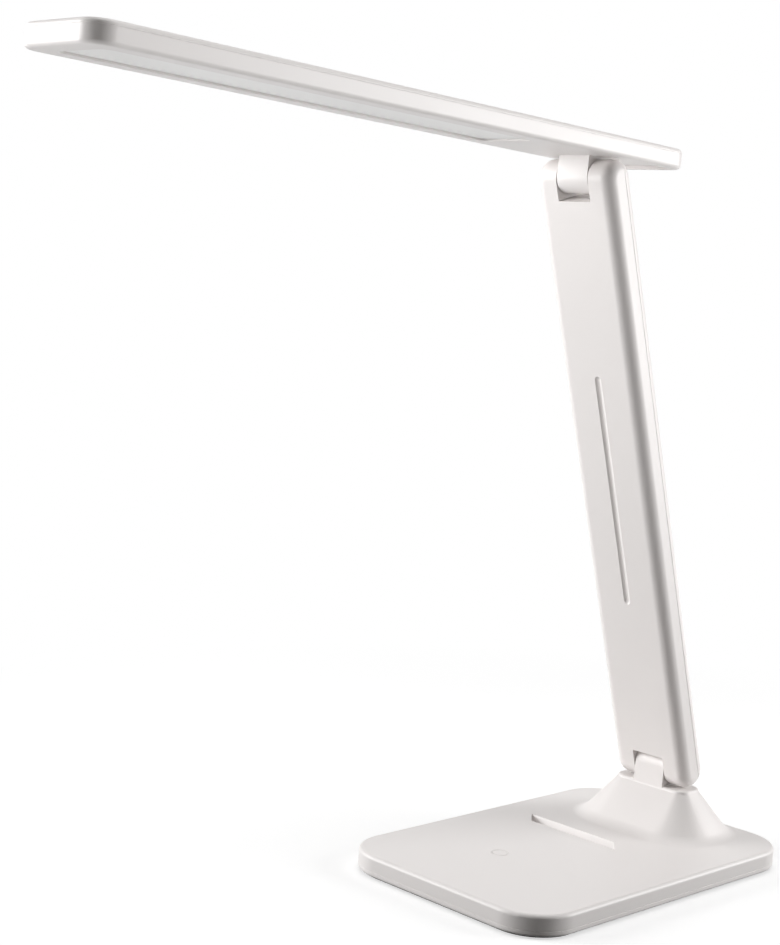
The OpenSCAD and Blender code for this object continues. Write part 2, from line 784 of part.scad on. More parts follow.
module hinge_nut() {
    color(STEEL) difference() {
        translate([nut_x, 0, 0]) rotate([0, 90, 0]) cylinder(d = nut_af / cos(30), h = nut_t, $fn = 6);
        x_rod(pin_r, nut_x - cut, nut_x + nut_t + cut);
    }
}

// -------------------------------------------------------------------- arm
// In the arm's own frame Z runs up the arm and -Y points out of its front face.

// Cross-section of the arm, inset by off
module arm_section(off) {
    round_rect(arm_w - 2 * off, arm_t - 2 * off, arm_r - off);
}

module at_arm_ends() {
    for (end = [0, 1]) translate([0, 0, end * arm_len]) mirror([0, 0, end]) children();
}

// Whole outer form of the arm with its half-round ends, inset by off
module arm_form(off) {
    linear_extrude(arm_len) arm_section(off);
    at_arm_ends() rotate([0, 90, 0]) rotate(-90) rotate_extrude(angle = 180) intersection() {
        rotate(90) arm_section(off);
        translate([0, -arm_w]) square([arm_w, 2 * arm_w]);
    }
}

// Blocks that clear the notches of both forks, larger by grow
module notches(grow) {
    at_arm_ends() translate([-notch_w / 2 - grow, -arm_t, -arm_t])
        cube([notch_w + 2 * grow, 2 * arm_t, arm_t + notch_depth + grow]);
}

// The arm as one hollow shell, before it is parted
module arm_hollow() {
    difference() {
        arm_form(0);
        notches(0);
        difference() {
            arm_form(arm_wall);
            notches(arm_wall);
        }
        at_arm_ends() x_rod(bush_r + fit_gap, -lug_x, lug_x);
        for (end = [0, 1])
            translate([wire_hole_x - wire_hole_w / 2, -wire_hole_t / 2, end * (arm_len - 2 * notch_depth)])
                cube([wire_hole_w, wire_hole_t, 2 * notch_depth]);
    }
}

module at_arm_screws() {
    for (k = arm_screw_s) translate([0, 0, k * arm_len]) rotate([90, 0, 0]) children();
}

module arm_groove() {
    translate([0, -arm_t / 2 - groove_r + groove_depth, groove_start]) {
        cylinder(r = groove_r, h = groove_len);
        sphere(r = groove_r);
        translate([0, 0, groove_len]) sphere(r = groove_r);
    }
}

module arm_front_shell() {
    inner_y = arm_t / 2 - arm_wall;
    color(WHITE) on_arm() difference() {
        union() {
            intersection() {
                arm_hollow();
                translate([-arm_w, part_y - 2 * arm_t, -arm_len]) cube([2 * arm_w, 2 * arm_t, 3 * arm_len]);
            }
            at_arm_screws() translate([0, 0, 0.3 - spine_web_y])
                cylinder(r = arm_boss_r, h = inner_y + spine_web_y);
        }
        at_arm_screws() translate([0, 0, -arm_t]) cylinder(r = screw_pilot_r, h = arm_t + inner_y - 0.2);
        // open sides of the bush holes, so that the shell goes on from the front
        at_arm_ends() translate([-lug_x, 0, -bush_r - fit_gap])
            cube([2 * lug_x, arm_t, 2 * (bush_r + fit_gap)]);
        arm_groove();
    }
}

module arm_rear_shell() {
    lip_x = arm_w / 2 - arm_wall - fit_gap - lip_t;
    lip_end = notch_depth + arm_wall + 12;
    color(WHITE) on_arm() difference() {
        union() {
            intersection() {
                arm_hollow();
                translate([-arm_w, part_y, -arm_len]) cube([2 * arm_w, 2 * arm_t, 3 * arm_len]);
            }
            for (m = [0, 1]) mirror([m, 0, 0]) translate([lip_x, part_y - 1.4, lip_end])
                cube([lip_t, 4, arm_len - 2 * lip_end]);
        }
        at_arm_screws() translate([0, 0, -arm_t]) cylinder(r = screw_hole_r, h = 2 * arm_t);
        at_arm_screws() translate([0, 0, -arm_t / 2 - cut])
            cylinder(r = screw_head_r + fit_gap, h = cut + screw_sink + arm_screw_head_t);
    }
}

// Steel channel that carries the arm: two flanges with a lug at each end, and a web
module arm_spine() {
    web_len = arm_len - 2 * spine_end;
    color(STEEL) on_arm() difference() {
        union() {
            for (m = [0, 1]) mirror([m, 0, 0]) {
                translate([lug_x, -spine_flange, 0]) cube([lug_t, spine_flange + spine_web_y, arm_len]);
                at_arm_ends() x_rod(lug_r, lug_x, spine_half_w);
            }
            translate([-spine_half_w, spine_web_y - lap, spine_end])
                cube([2 * spine_half_w, spine_t + lap, web_len]);
        }
        translate([-lug_x, -arm_t, spine_end - cut])
            cube([2 * lug_x, arm_t + spine_web_y, web_len + 2 * cut]);
        at_arm_ends() x_rod(pin_r + pin_clear, -arm_w, arm_w);
        at_arm_screws() translate([0, 0, -arm_t]) cylinder(r = screw_hole_r + fit_gap, h = 2 * arm_t);
    }
}

module arm_screws() {
    color(STEEL) on_arm() at_arm_screws() translate([0, 0, screw_sink - arm_t / 2]) rotate([180, 0, 0])
        screw(arm_t - arm_wall - 2.5, screw_r, screw_head_r, arm_screw_head_t);
}

// Pair of wires that run up the arm, to the side of the screw bosses
module arm_lead() {
    end_s = notch_depth + 0.3;
    aside = arm_boss_r + 1.8 + wire_d / 2 - wire_pair_x[0];
    color(CABLE_GREY) on_arm() for (x = wire_pair_x)
        wire([[x, 0, end_s], [x, 0, end_s + 3], [x + aside, -1, end_s + 14],
              [x + aside, -1, arm_len / 2], [x + aside, -1, arm_len - end_s - 14],
              [x, 0, arm_len - end_s - 3], [x, 0, arm_len - end_s]]);
}

// ------------------------------------------------------------------- head
// In the head's own frame the tip points to -Y, so a distance s forward is y = -s.

module head_top_cover() {
    lip_r = head_corner_r - head_wall - fit_gap;
    color(WHITE) on_head() difference() {
        union() {
            translate([0, -head_mid_s, cover_z]) {
                around(head_w / 2 - head_corner_r, head_len / 2 - head_corner_r) {
                    edge_profile(head_corner_r, cover_t, head_top_r, 0);
                    translate([lip_r - cover_lip_t, -cover_lip_h]) square([cover_lip_t, cover_lip_h + lap]);
                }
                core(head_w / 2 - head_corner_r, head_len / 2 - head_corner_r, 0, cover_t);
            }
            at_tail_screws() translate([0, 0, tail_boss_z])
                cylinder(r = tail_boss_r, h = cover_z + lap - tail_boss_z);
        }
        at_tail_screws() cylinder(r = tail_screw_r, h = cover_z + lap);
    }
}

// Tail opening, grown by off: a rounded field that leaves a land round the tongue
module tail_field(off) {
    land_w = 2 * (tongue_w / 2 + tongue_land - off);
    land_s = tongue_r + tongue_land - off;
    difference() {
        translate([0, tail_s / 2]) round_rect(2 * (tail_half_w + off), tail_s + 2 * off, 3 + off);
        translate([-land_w / 2, -arm_t]) square([land_w, arm_t + land_s]);
    }
}

module at_tail_screws() {
    for (x = [-1, 1]) translate([x * tail_screw_x, tail_screw_s, 0]) children();
}

module at_bracket_screws() {
    for (x = [-1, 1], s = bracket_screw_s) translate([x * (bracket_w / 2 - 4), -s, 0]) children();
}

// The bracket's foot plate in plan, grown by off
module bracket_plan(off) {
    translate([-bracket_w / 2 - off, -bracket_front - off])
        square([bracket_w + 2 * off, bracket_front - tongue_r + off]);
}

// Turns a tongue upside down, so that its end points at the arm
module hang() rotate([180, 0, 0]) children();

module head_bottom_frame() {
    frame_h = cover_z - head_z;
    color(WHITE) on_head() difference() {
        union() {
            translate([0, -head_mid_s, head_z]) difference() {
                soft_plate(head_w, head_len, frame_h, head_corner_r, 0, head_bottom_r);
                translate([0, 0, head_floor]) linear_extrude(frame_h)
                    round_rect(head_w - 2 * head_wall, head_len - 2 * head_wall, head_corner_r - head_wall);
            }
            hang() tongue_form(tongue_flat, head_in_z - fit_gap, 0);
            translate([0, 0, head_in_z - lap]) linear_extrude(bracket_z - head_in_z + lap) bracket_plan(0.5);
        }
        hang() tongue_form(tongue_flat, head_in_z + cut, arm_wall);
        hang() wire_hole();
        x_rod(bush_r + fit_gap, -tongue_w, tongue_w);
        translate([0, 0, head_z - cut]) linear_extrude(head_floor + 2 * cut) {
            window_plan(0);
            tail_field(0);
        }
        at_bracket_screws() translate([0, 0, head_z + 0.6]) cylinder(r = screw_pilot_r, h = head_t);
    }
}

module head_bracket() {
    color(STEEL) on_head() difference() {
        union() {
            translate([0, 0, bracket_z]) linear_extrude(foot_t) bracket_plan(0);
            translate([stem_left, -tongue_r - lap, bracket_z])
                cube([stem_right - stem_left, tongue_r + lap + stem_t / 2, foot_t]);
            translate([stem_left, -stem_t / 2, 0])
                cube([stem_right - stem_left, stem_t, bracket_z + foot_t]);
            x_rod(eye_d / 2, stem_left, stem_right);
        }
        x_rod(bush_r, -tongue_w, tongue_w);
        at_bracket_screws() translate([0, 0, head_z]) cylinder(r = screw_hole_r, h = head_t);
    }
}

module bracket_screws() {
    top = bracket_z + foot_t + bracket_head_t;
    color(STEEL) on_head() at_bracket_screws() translate([0, 0, top])
        screw(top - head_z - 0.8, screw_r, screw_head_r, bracket_head_t);
}

// The light window in plan, grown by off
module window_plan(off) {
    translate([0, -window_mid])
        round_rect(window_w + 2 * off, window_len + 2 * off, window_corner_r + off);
}

module diffuser() {
    color(OPAL) on_head() {
        translate([0, 0, head_in_z]) linear_extrude(diffuser_t) window_plan(diffuser_lap);
        translate([0, 0, head_in_z - diffuser_rise]) linear_extrude(diffuser_rise + lap)
            window_plan(-diffuser_gap);
    }
}

module light_frame() {
    color(WHITE) on_head() translate([0, 0, light_z]) linear_extrude(led_board_z - light_z) difference() {
        window_plan(diffuser_lap);
        window_plan(diffuser_lap - light_wall);
    }
}

module led_board() {
    color(WHITE) on_head() translate([0, led_board_tail / 2 - window_mid, led_board_z])
        linear_extrude(board_t) round_rect(window_w, window_len + led_board_tail, 2);
}

module leds() {
    color(LED_YELLOW) on_head() for (row = [0 : led_rows - 1], i = [0 : led_count - 1])
        translate([(row - (led_rows - 1) / 2) * led_row_gap,
                   (i - (led_count - 1) / 2) * led_pitch - window_mid, led_board_z - led_t / 2])
            cube([led_w, led_w * 1.25, led_t], center = true);
}

module tail_panel() {
    color(WHITE) on_head() difference() {
        translate([0, 0, head_in_z]) linear_extrude(tail_panel_t) tail_field(tail_lap);
        at_tail_screws() cylinder(r = tail_screw_r + fit_gap, h = head_top_z);
        at_tail_screws() translate([0, 0, head_in_z - cut])
            cylinder(r = tail_head_r + fit_gap, h = cut + screw_sink + tail_head_t);
    }
}

module tail_screws() {
    color(STEEL) on_head() at_tail_screws() translate([0, 0, head_in_z + screw_sink]) rotate([180, 0, 0])
        screw(cover_z - head_in_z - screw_sink - 0.3, tail_screw_r, tail_head_r, tail_head_t);
}

// Pair of wires from the arm, round the bush and up the tongue to the LED board
module head_lead() {
    front = -stem_t / 2 - wire_d;
    gap_r = (bush_r + tongue_r - tongue_flat - arm_wall) / 2;
    over = bracket_z + foot_t + wire_d / 2 + 0.1;
    board_end = window_start - led_board_tail;
    color(CABLE_GREY) on_head() for (x = wire_pair_x)
        wire([[x, -0.3, tongue_flat + 0.6 - tongue_r], [x, -gap_r * sin(25), -gap_r * cos(25)],
              [x, -gap_r * sin(60), -gap_r * cos(60)], [x, front, 2], [x, front, head_in_z],
              [x, front - 2, over], [x, -bracket_front, over],
              [x, -board_end, led_board_z - wire_d / 2 - 0.05],
              [x, -board_end - 2, led_board_z - wire_d / 2 - 0.05]]);
}

// ------------------------------------------------------------------ nodes

base_top_shell();
base_bottom_shell();
foot_pad();
ballast_plate();
base_screws();
hinge_post();
post_screws();
control_board();
board_parts();
touch_board();
touch_lead();
power_inlet();
inlet_pin();
base_lead();
on_lower_axis() hinge_bush();  // lower_bush
on_lower_axis() hinge_pin();  // lower_pin
on_lower_axis() friction_washers();  // lower_friction_washers
on_lower_axis() spring_washers();  // lower_spring_washers
on_lower_axis() hinge_nut();  // lower_nut
arm_front_shell();
arm_rear_shell();
arm_spine();
arm_screws();
arm_lead();
on_head() hinge_bush();  // upper_bush
on_head() hinge_pin();  // upper_pin
on_head() friction_washers();  // upper_friction_washers
on_head() spring_washers();  // upper_spring_washers
on_head() hinge_nut();  // upper_nut
head_top_cover();
head_bottom_frame();
head_bracket();
bracket_screws();
diffuser();
light_frame();
led_board();
leds();
tail_panel();
tail_screws();
head_lead();
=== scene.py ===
"""Folding LED desk lamp: the finish of every piece, its fine detail, and the studio that it stands in.

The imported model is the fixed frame: metres, +Z up, the lamp faces -Y and both hinge axes run along +X.
"""

import json
import logging
import math
from dataclasses import dataclass
from enum import Enum
from typing import Sequence

import bmesh
import bpy
from mathutils import Euler, Matrix, Vector


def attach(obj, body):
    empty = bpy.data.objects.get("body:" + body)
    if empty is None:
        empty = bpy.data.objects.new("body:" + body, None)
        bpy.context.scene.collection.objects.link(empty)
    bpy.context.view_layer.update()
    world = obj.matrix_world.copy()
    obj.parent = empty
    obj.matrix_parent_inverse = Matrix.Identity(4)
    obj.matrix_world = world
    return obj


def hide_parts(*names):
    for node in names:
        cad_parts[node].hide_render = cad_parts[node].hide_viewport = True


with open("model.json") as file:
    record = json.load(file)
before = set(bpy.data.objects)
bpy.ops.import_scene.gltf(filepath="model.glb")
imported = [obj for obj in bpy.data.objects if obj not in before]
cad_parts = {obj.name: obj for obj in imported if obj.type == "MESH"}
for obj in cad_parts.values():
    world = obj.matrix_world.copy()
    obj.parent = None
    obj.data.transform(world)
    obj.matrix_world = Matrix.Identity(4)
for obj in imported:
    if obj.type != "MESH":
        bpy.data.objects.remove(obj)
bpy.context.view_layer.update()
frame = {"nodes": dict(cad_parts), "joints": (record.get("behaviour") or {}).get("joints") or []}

MM = 0.001
WHOLE_TURN = 2.0 * math.pi
WHITE = (1.0, 1.0, 1.0, 1.0)
LOG = logging.getLogger("lamp")

# Loose triangles are joined where corners lie this near and faces turn by no more than this
WELD = 0.000002
FLAT = math.radians(0.4)

Colour = tuple[float, float, float]
Point = tuple[float, float, float]
Ring = tuple[float, float, float]


# ------------------------------------------------------------------------- shader maths


class Value:
    """A shader socket that takes part in Python arithmetic with other sockets and numbers."""

    def __init__(self, shader: "Shader", socket: bpy.types.NodeSocket) -> None:
        """Wraps a socket.

        Args:
            shader: the tree that the socket belongs to.
            socket: an output socket.
        """
        self.shader = shader
        self.socket = socket

    def _math(self, operation: str, first: object, second: object) -> "Value":
        """Adds a Math node.

        Args:
            operation: the node's operation.
            first: a Value or a number.
            second: a Value or a number.

        Returns:
            The node's result.
        """
        return self.shader.node("ShaderNodeMath", {"operation": operation}, {0: first, 1: second})

    def __add__(self, other: object) -> "Value":
        """self + other."""
        return self._math("ADD", self, other)

    def __sub__(self, other: object) -> "Value":
        """self - other."""
        return self._math("SUBTRACT", self, other)

    def __rsub__(self, other: object) -> "Value":
        """other - self."""
        return self._math("SUBTRACT", other, self)

    def __mul__(self, other: object) -> "Value":
        """self * other."""
        return self._math("MULTIPLY", self, other)

    def __gt__(self, other: object) -> "Value":
        """1 where self is greater than other, and 0 elsewhere."""
        return self._math("GREATER_THAN", self, other)

    def __or__(self, other: object) -> "Value":
        """The greater of self and other."""
        return self._math("MAXIMUM", self, other)

    __radd__ = __add__
    __rmul__ = __mul__


class Shader:
    """The node tree of a material or a world, filled through one method."""

    def __init__(self, owner: bpy.types.Material | bpy.types.World) -> None:
        """Empties the owner's tree.

        Args:
            owner: the material or world.
        """
        owner.use_nodes = True
        self.tree = owner.node_tree
        self.tree.nodes.clear()

    def node(self, kind: str, settings: dict | None = None, inputs: dict | None = None,
             out: int | str = 0) -> Value | None:
        """Adds a node.

        Args:
            kind: the node's type.
            settings: attributes, which are set first; "stops" fills a colour ramp.
            inputs: from a socket's name or index to a Value or a constant.
            out: name or index of the output that is returned.

        Returns:
            One output of the node, or nothing where it has none.
        """
        made = self.tree.nodes.new(kind)
        for name, setting in (settings or {}).items():
            if name == "stops":
                self._fill(made.color_ramp.elements, setting)
            else:
                setattr(made, name, setting)
        for key, value in (inputs or {}).items():
            if isinstance(value, Value):
                self.tree.links.new(value.socket, made.inputs[key])
            else:
                made.inputs[key].default_value = value
        return Value(self, made.outputs[out]) if len(made.outputs) else None

    @staticmethod
    def _fill(elements: bpy.types.ColorRampElements, stops: Sequence[tuple[float, float]]) -> None:
        """Sets the stops of a grey ramp.

        Args:
            elements: the ramp's elements.
            stops: position and brightness of each stop, in order.
        """
        while len(elements) < len(stops):
            elements.new(1.0)
        for element, (position, level) in zip(elements, stops):
            element.position = position
            element.color = (level, level, level, 1.0)

    def place(self, scale: Point = (1.0, 1.0, 1.0), turn: Point = (0.0, 0.0, 0.0)) -> Value:
        """The surface's own place in metres, stretched and turned.

        Args:
            scale: factor along each axis.
            turn: rotation about each axis.

        Returns:
            The vector.
        """
        spot = self.node("ShaderNodeTexCoord", out="Object")
        return self.node("ShaderNodeMapping", {}, {"Vector": spot, "Rotation": turn, "Scale": scale})

    def noise(self, spot: Value, size: float, detail: float = 2.0) -> Value:
        """Noise around 0.5.

        Args:
            spot: where it is read.
            size: size of its patches in metres.
            detail: octaves.

        Returns:
            The noise's value.
        """
        inputs = {"Vector": spot, "Scale": 1.0 / size, "Detail": detail}
        return self.node("ShaderNodeTexNoise", {}, inputs)

    def cells(self, spot: Value, scale: float = 1.0, randomness: float = 0.0,
              distance: str = "EUCLIDEAN") -> Value:
        """Distance to the middle of the nearest cell of a flat lattice.

        Args:
            spot: where it is read.
            scale: cells to a unit of it.
            randomness: 0 keeps the cells in rows, and 1 strews them.
            distance: how the distance is measured.

        Returns:
            The distance.
        """
        settings = {"feature": "F1", "distance": distance, "voronoi_dimensions": "2D"}
        inputs = {"Vector": spot, "Scale": scale, "Randomness": randomness}
        return self.node("ShaderNodeTexVoronoi", settings, inputs)

    def ease(self, value: Value, start: float, end: float, low: float, high: float) -> Value:
        """A soft step from one level to another.

        Args:
            value: what decides.
            start: where the step starts.
            end: where it ends.
            low: the level before it.
            high: the level after it.

        Returns:
            The level.
        """
        inputs = {"Value": value, "From Min": start, "From Max": end, "To Min": low, "To Max": high}
        return self.node("ShaderNodeMapRange", {"interpolation_type": "SMOOTHSTEP"}, inputs)

    def reach(self, spot: Value) -> Value:
        """Length of a vector."""
        return self.node("ShaderNodeVectorMath", {"operation": "LENGTH"}, {0: spot}, out="Value")

    def blend(self, mask: Value, low: Colour, high: Colour) -> Value:
        """Mixes two colours.

        Args:
            mask: 0 gives low and 1 gives high.
            low: the first colour.
            high: the second colour.

        Returns:
            The colour.
        """
        settings = {"data_type": "RGBA"}
        return self.node("ShaderNodeMix", settings, {0: mask, 6: (*low, 1.0), 7: (*high, 1.0)}, out=2)

    def bump(self, height: Value, depth: float) -> Value:
        """Turns a height into a normal.

        Args:
            height: from 0 to 1.
            depth: what 1 stands for, in metres.

        Returns:
            The normal.
        """
        return self.node("ShaderNodeBump", {}, {"Height": height, "Distance": depth, "Strength": 1.0})


# ------------------------------------------------------------------------------ finishes


@dataclass(frozen=True)
class Finish:
    """A surface with a fine grain, whose colour and gloss wander a little from place to place."""

    name: str
    slot: str
    colour: Colour
    roughness: float
    tone: float = 0.02
    tone_size: float = 0.06
    gloss_drift: float = 0.05
    grain: float = 0.0004
    grain_depth: float = 0.000004
    metallic: float = 0.0
    ior: float = 1.5

    def shades(self) -> tuple[Colour, Colour]:
        """How far the colour wanders.

        Returns:
            The darkest and the lightest colour.
        """
        low = tuple(c * (1.0 - self.tone) for c in self.colour)
        high = tuple(min(1.0, c * (1.0 + self.tone)) for c in self.colour)
        return low, high

    def base_colour(self, shader: Shader) -> Value:
        """Colour over the surface.

        Args:
            shader: the tree to fill.

        Returns:
            The colour.
        """
        return shader.blend(shader.noise(shader.place(), self.tone_size, 3.0), *self.shades())

    def gloss(self, shader: Shader) -> Value:
        """Roughness over the surface.

        Args:
            shader: the tree to fill.

        Returns:
            The roughness.
        """
        drift = shader.noise(shader.place(), self.tone_size * 0.5, 4.0) - 0.5
        return drift * (2.0 * self.gloss_drift) + self.roughness

    def height(self, shader: Shader) -> Value:
        """Height of the fine grain.

        Args:
            shader: the tree to fill.

        Returns:
            The height, from 0 to 1.
        """
        return shader.noise(shader.place(), self.grain, 2.0)

    def constants(self) -> dict[str, object]:
        """Shader inputs that are the same all over the surface."""
        return {"Metallic": self.metallic, "IOR": self.ior}

    def material(self) -> bpy.types.Material:
        """The finish as a material, made once.

        Returns:
            The material.
        """
        known = bpy.data.materials.get(self.name)
        if known:
            return known
        made = bpy.data.materials.new(self.name)
        shader = Shader(made)
        inputs = {
            "Base Color": self.base_colour(shader),
            "Roughness": self.gloss(shader),
            "Normal": shader.bump(self.height(shader), self.grain_depth),
            **self.constants(),
        }
        surface = shader.node("ShaderNodeBsdfPrincipled", {}, inputs)
        shader.node("ShaderNodeOutputMaterial", {}, {"Surface": surface})
        return made


@dataclass(frozen=True)
class OpalPlastic(Finish):
    """Milky plastic that scatters light, with a fine lattice of lens dots."""

    lens_pitch: float = 0.0011
    scatter: float = 0.10
    scatter_reach: Point = (0.004, 0.004, 0.0036)

    def height(self, shader: Shader) -> Value:
        """Height of the lens dots."""
        return 1.0 - shader.cells(shader.place((1.0 / self.lens_pitch,) * 3))

    def constants(self) -> dict[str, object]:
        """Adds the scattering."""
        return {**super().constants(), "Subsurface Weight": self.scatter, "Subsurface Scale": 1.0,
                "Subsurface Radius": self.scatter_reach}


@dataclass(frozen=True)
class GripRubber(Finish):
    """Rubber with a pattern of low grip studs, with painted shade in the hollows between them."""

    stud_pitch: float = 0.0022
    stud_top: float = 0.30
    stud_foot: float = 0.42
    grain_share: float = 0.15

    def _studs(self, shader: Shader) -> Value:
        """Where the studs are.

        Args:
            shader: the tree to fill.

        Returns:
            1 on a stud and 0 between the studs.
        """
        spot = shader.place((1.0 / self.stud_pitch,) * 3, (0.0, 0.0, math.radians(45.0)))
        stops = ((self.stud_top, 1.0), (self.stud_foot, 0.0))
        return shader.node("ShaderNodeValToRGB", {"stops": stops}, {0: shader.cells(spot)})

    def base_colour(self, shader: Shader) -> Value:
        """Painted shade: darker in the hollows between the studs."""
        # Painted shade: the low colour fills the hollows between the studs, and the high colour the stud
        # tops
        return shader.blend(self._studs(shader), *self.shades())

    def height(self, shader: Shader) -> Value:
        """The studs, with a little grain."""
        grain = shader.noise(shader.place(), self.grain) * self.grain_share
        return self._studs(shader) * (1.0 - self.grain_share) + grain


@dataclass(frozen=True)
class WorkedMetal(Finish):
    """Metal with fine streaks along one axis, from drawing, turning or rolling."""

    streak: Point = (1.0, 0.04, 1.0)
    patch_share: float = 0.5

    def _streaks(self, shader: Shader) -> Value:
        """Streak height."""
        return shader.noise(shader.place(self.streak), self.grain, 4.0)

    def base_colour(self, shader: Shader) -> Value:
        """Streaks, and patches of plating."""
        patches = shader.noise(shader.place(), self.tone_size, 3.0) * self.patch_share
        return shader.blend(self._streaks(shader) * (1.0 - self.patch_share) + patches, *self.shades())

    def gloss(self, shader: Shader) -> Value:
        """Rougher along the streaks."""
        return (self._streaks(shader) - 0.5) * (2.0 * self.gloss_drift) + self.roughness

    def height(self, shader: Shader) -> Value:
        """The streaks."""
        return self._streaks(shader)


@dataclass(frozen=True)
class Laminate(Finish):
    """Circuit board: a coat of lacquer over copper tracks that run in two directions."""

    track: Colour = (0.10, 0.40, 0.20)
    coat: float = 0.4
    coat_roughness: float = 0.15
    track_pitch: float = 0.0013
    tracks_in_cell: float = 4.0
    gap_share: float = 0.62

    def _tracks(self, shader: Shader) -> Value:
        """Where the copper runs, in square rings round strewn cells.

        Args:
            shader: the tree to fill.

        Returns:
            1 on a track and 0 beside it.
        """
        scale = 1.0 / (self.tracks_in_cell * self.track_pitch)
        across = shader.cells(shader.place(), scale, 1.0, "CHEBYCHEV") * self.tracks_in_cell
        fold = shader.node("ShaderNodeMath", {"operation": "PINGPONG"}, {0: across, 1: 1.0})
        return fold > self.gap_share

    def base_colour(self, shader: Shader) -> Value:
        """Lighter over the copper."""
        return shader.blend(self._tracks(shader), self.colour, self.track)

    def height(self, shader: Shader) -> Value:
        """The tracks stand a little proud."""
        return self._tracks(shader)

    def constants(self) -> dict[str, object]:
        """Adds the coat of lacquer."""
        return {**super().constants(), "Coat Weight": self.coat, "Coat Roughness": self.coat_roughness}


class Finishes(Enum):
    """Every finish of the lamp."""

    SHELL = Finish("satin_white_shell", "white_plastic", (0.86, 0.827, 0.812), 0.42, tone=0.008,
                   gloss_drift=0.04, grain=0.00035, grain_depth=0.0000035)
    SHADE = Finish("smooth_white_shade", "white_plastic", (0.86, 0.829, 0.815), 0.38, tone=0.008,
                   gloss_drift=0.03, grain=0.00035, grain_depth=0.000002)
    REFLECTOR = Finish("reflector_white", "reflector_white", (0.87, 0.87, 0.86), 0.6, grain=0.0006)
    OPAL = OpalPlastic("opal_diffuser", "opal_plastic", (0.97, 0.962, 0.95), 0.36, tone=0.01,
                       gloss_drift=0.03, grain_depth=0.000010)
    RUBBER = GripRubber("grip_rubber", "black_rubber", (0.035, 0.034, 0.036), 0.75, tone=0.4,
                        grain_depth=0.00008)
    STEEL = WorkedMetal("pressed_steel", "steel", (0.50, 0.51, 0.53), 0.34, tone=0.12,
                        gloss_drift=0.10, grain=0.0005, grain_depth=0.000004, metallic=1.0)
    PLATED = WorkedMetal("zinc_plated_steel", "plated_steel", (0.47, 0.475, 0.48), 0.30, tone=0.10,
                         gloss_drift=0.08, grain=0.0004, grain_depth=0.000002, metallic=1.0,
                         streak=(1.0, 1.0, 0.2))
    BRASS = WorkedMetal("turned_brass", "brass", (0.66, 0.47, 0.18), 0.28, tone=0.10,
                        gloss_drift=0.08, grain=0.0004, grain_depth=0.000002, metallic=1.0)
    BOARD = Laminate("green_circuit_board", "circuit_board", (0.015, 0.13, 0.05), 0.4,
                     track=(0.035, 0.24, 0.10), grain_depth=0.00003)
    LED_BOARD = Laminate("white_led_board", "led_circuit_board", (0.74, 0.74, 0.71), 0.4,
                         track=(0.80, 0.80, 0.78), grain_depth=0.00003)
    BLACK = Finish("black_moulding", "black_plastic", (0.018, 0.018, 0.02), 0.42, tone=0.2,
                   grain=0.0003, grain_depth=0.000006)
    PHOSPHOR = Finish("led_phosphor", "led_phosphor", (0.80, 0.62, 0.12), 0.5, tone=0.08,
                      tone_size=0.0008, grain=0.0002, grain_depth=0.00001)
    WIRE = Finish("wire_insulation", "wire_insulation", (0.60, 0.60, 0.57), 0.45, tone=0.03,
                  grain=0.0003, grain_depth=0.000006)

    def dress(self, piece: bpy.types.Object) -> None:
        """Gives a piece this finish alone.

        Args:
            piece: the object.
        """
        piece.data.materials.clear()
        piece.data.materials.append(self.value.material())
        for face in getattr(piece.data, "polygons", ()):
            face.material_index = 0


# --------------------------------------------------------------------------- mesh helpers


def add_object(name: str, mesh: bpy.types.Mesh) -> bpy.types.Object:
    """Puts a mesh into the scene as an object at the origin.

    Args:
        name: the object's name.
        mesh: its mesh.

    Returns:
        The object.
    """
    made = bpy.data.objects.new(name, mesh)
    bpy.context.scene.collection.objects.link(made)
    return made


def closed_form(name: str, shape: bmesh.types.BMesh) -> bpy.types.Object:
    """Makes an object of a closed shape, with its faces outwards.

    Args:
        name: the object's name.
        shape: the shape, which is freed.

    Returns:
        The object.
    """
    bmesh.ops.recalc_face_normals(shape, faces=shape.faces)
    mesh = bpy.data.meshes.new(name)
    shape.to_mesh(mesh)
    shape.free()
    return add_object(name, mesh)


def welded(node: str) -> bmesh.types.BMesh:
    """A node's loose triangles, joined into whole faces.

    Args:
        node: the CAD node's name.

    Returns:
        The joined shape, which the caller frees.
    """
    shape = bmesh.new()
    shape.from_mesh(frame["nodes"][node].data)
    bmesh.ops.remove_doubles(shape, verts=shape.verts, dist=WELD)
    bmesh.ops.dissolve_limit(shape, angle_limit=FLAT, verts=shape.verts, edges=shape.edges)
    return shape


def plain_mesh(piece: bpy.types.Object) -> bpy.types.Mesh:
    """What a piece's modifiers make of it.

    Args:
        piece: the object.

    Returns:
        The result, as a new mesh.
    """
    graph = bpy.context.evaluated_depsgraph_get()
    return bpy.data.meshes.new_from_object(piece.evaluated_get(graph), depsgraph=graph)


@dataclass(frozen=True)
class EdgeTreatment:
    """Softens a node's shading and breaks its sharp edges."""

    width: float = 0.00012
    segments: int = 2
    sharp: float = math.radians(38.0)
    flat_weight: int = 50

    def copy(self, node: str) -> bpy.types.Mesh:
        """A copy of a node's mesh, shaded smooth but for its sharp edges.

        Args:
            node: the CAD node's name.

        Returns:
            The new mesh.
        """
        shape = welded(node)
        for face in shape.faces:
            face.smooth = True
        for edge in shape.edges:
            edge.smooth = len(edge.link_faces) == 2 and edge.calc_face_angle(0.0) < self.sharp
        mesh = bpy.data.meshes.new(node + "_skin")
        shape.to_mesh(mesh)
        shape.free()
        return mesh

    def apply(self, piece: bpy.types.Object) -> None:
        """Adds the bevel, and normals that keep flat faces flat.

        Args:
            piece: the object to treat.
        """
        bevel = piece.modifiers.new("broken edges", "BEVEL")
        bevel.width = self.width
        bevel.segments = self.segments
        bevel.limit_method = "ANGLE"
        bevel.angle_limit = self.sharp
        bevel.use_clamp_overlap = False
        bevel.miter_outer = "MITER_ARC"
        normals = piece.modifiers.new("even normals", "WEIGHTED_NORMAL")
        normals.mode = "FACE_AREA"
        normals.weight = self.flat_weight


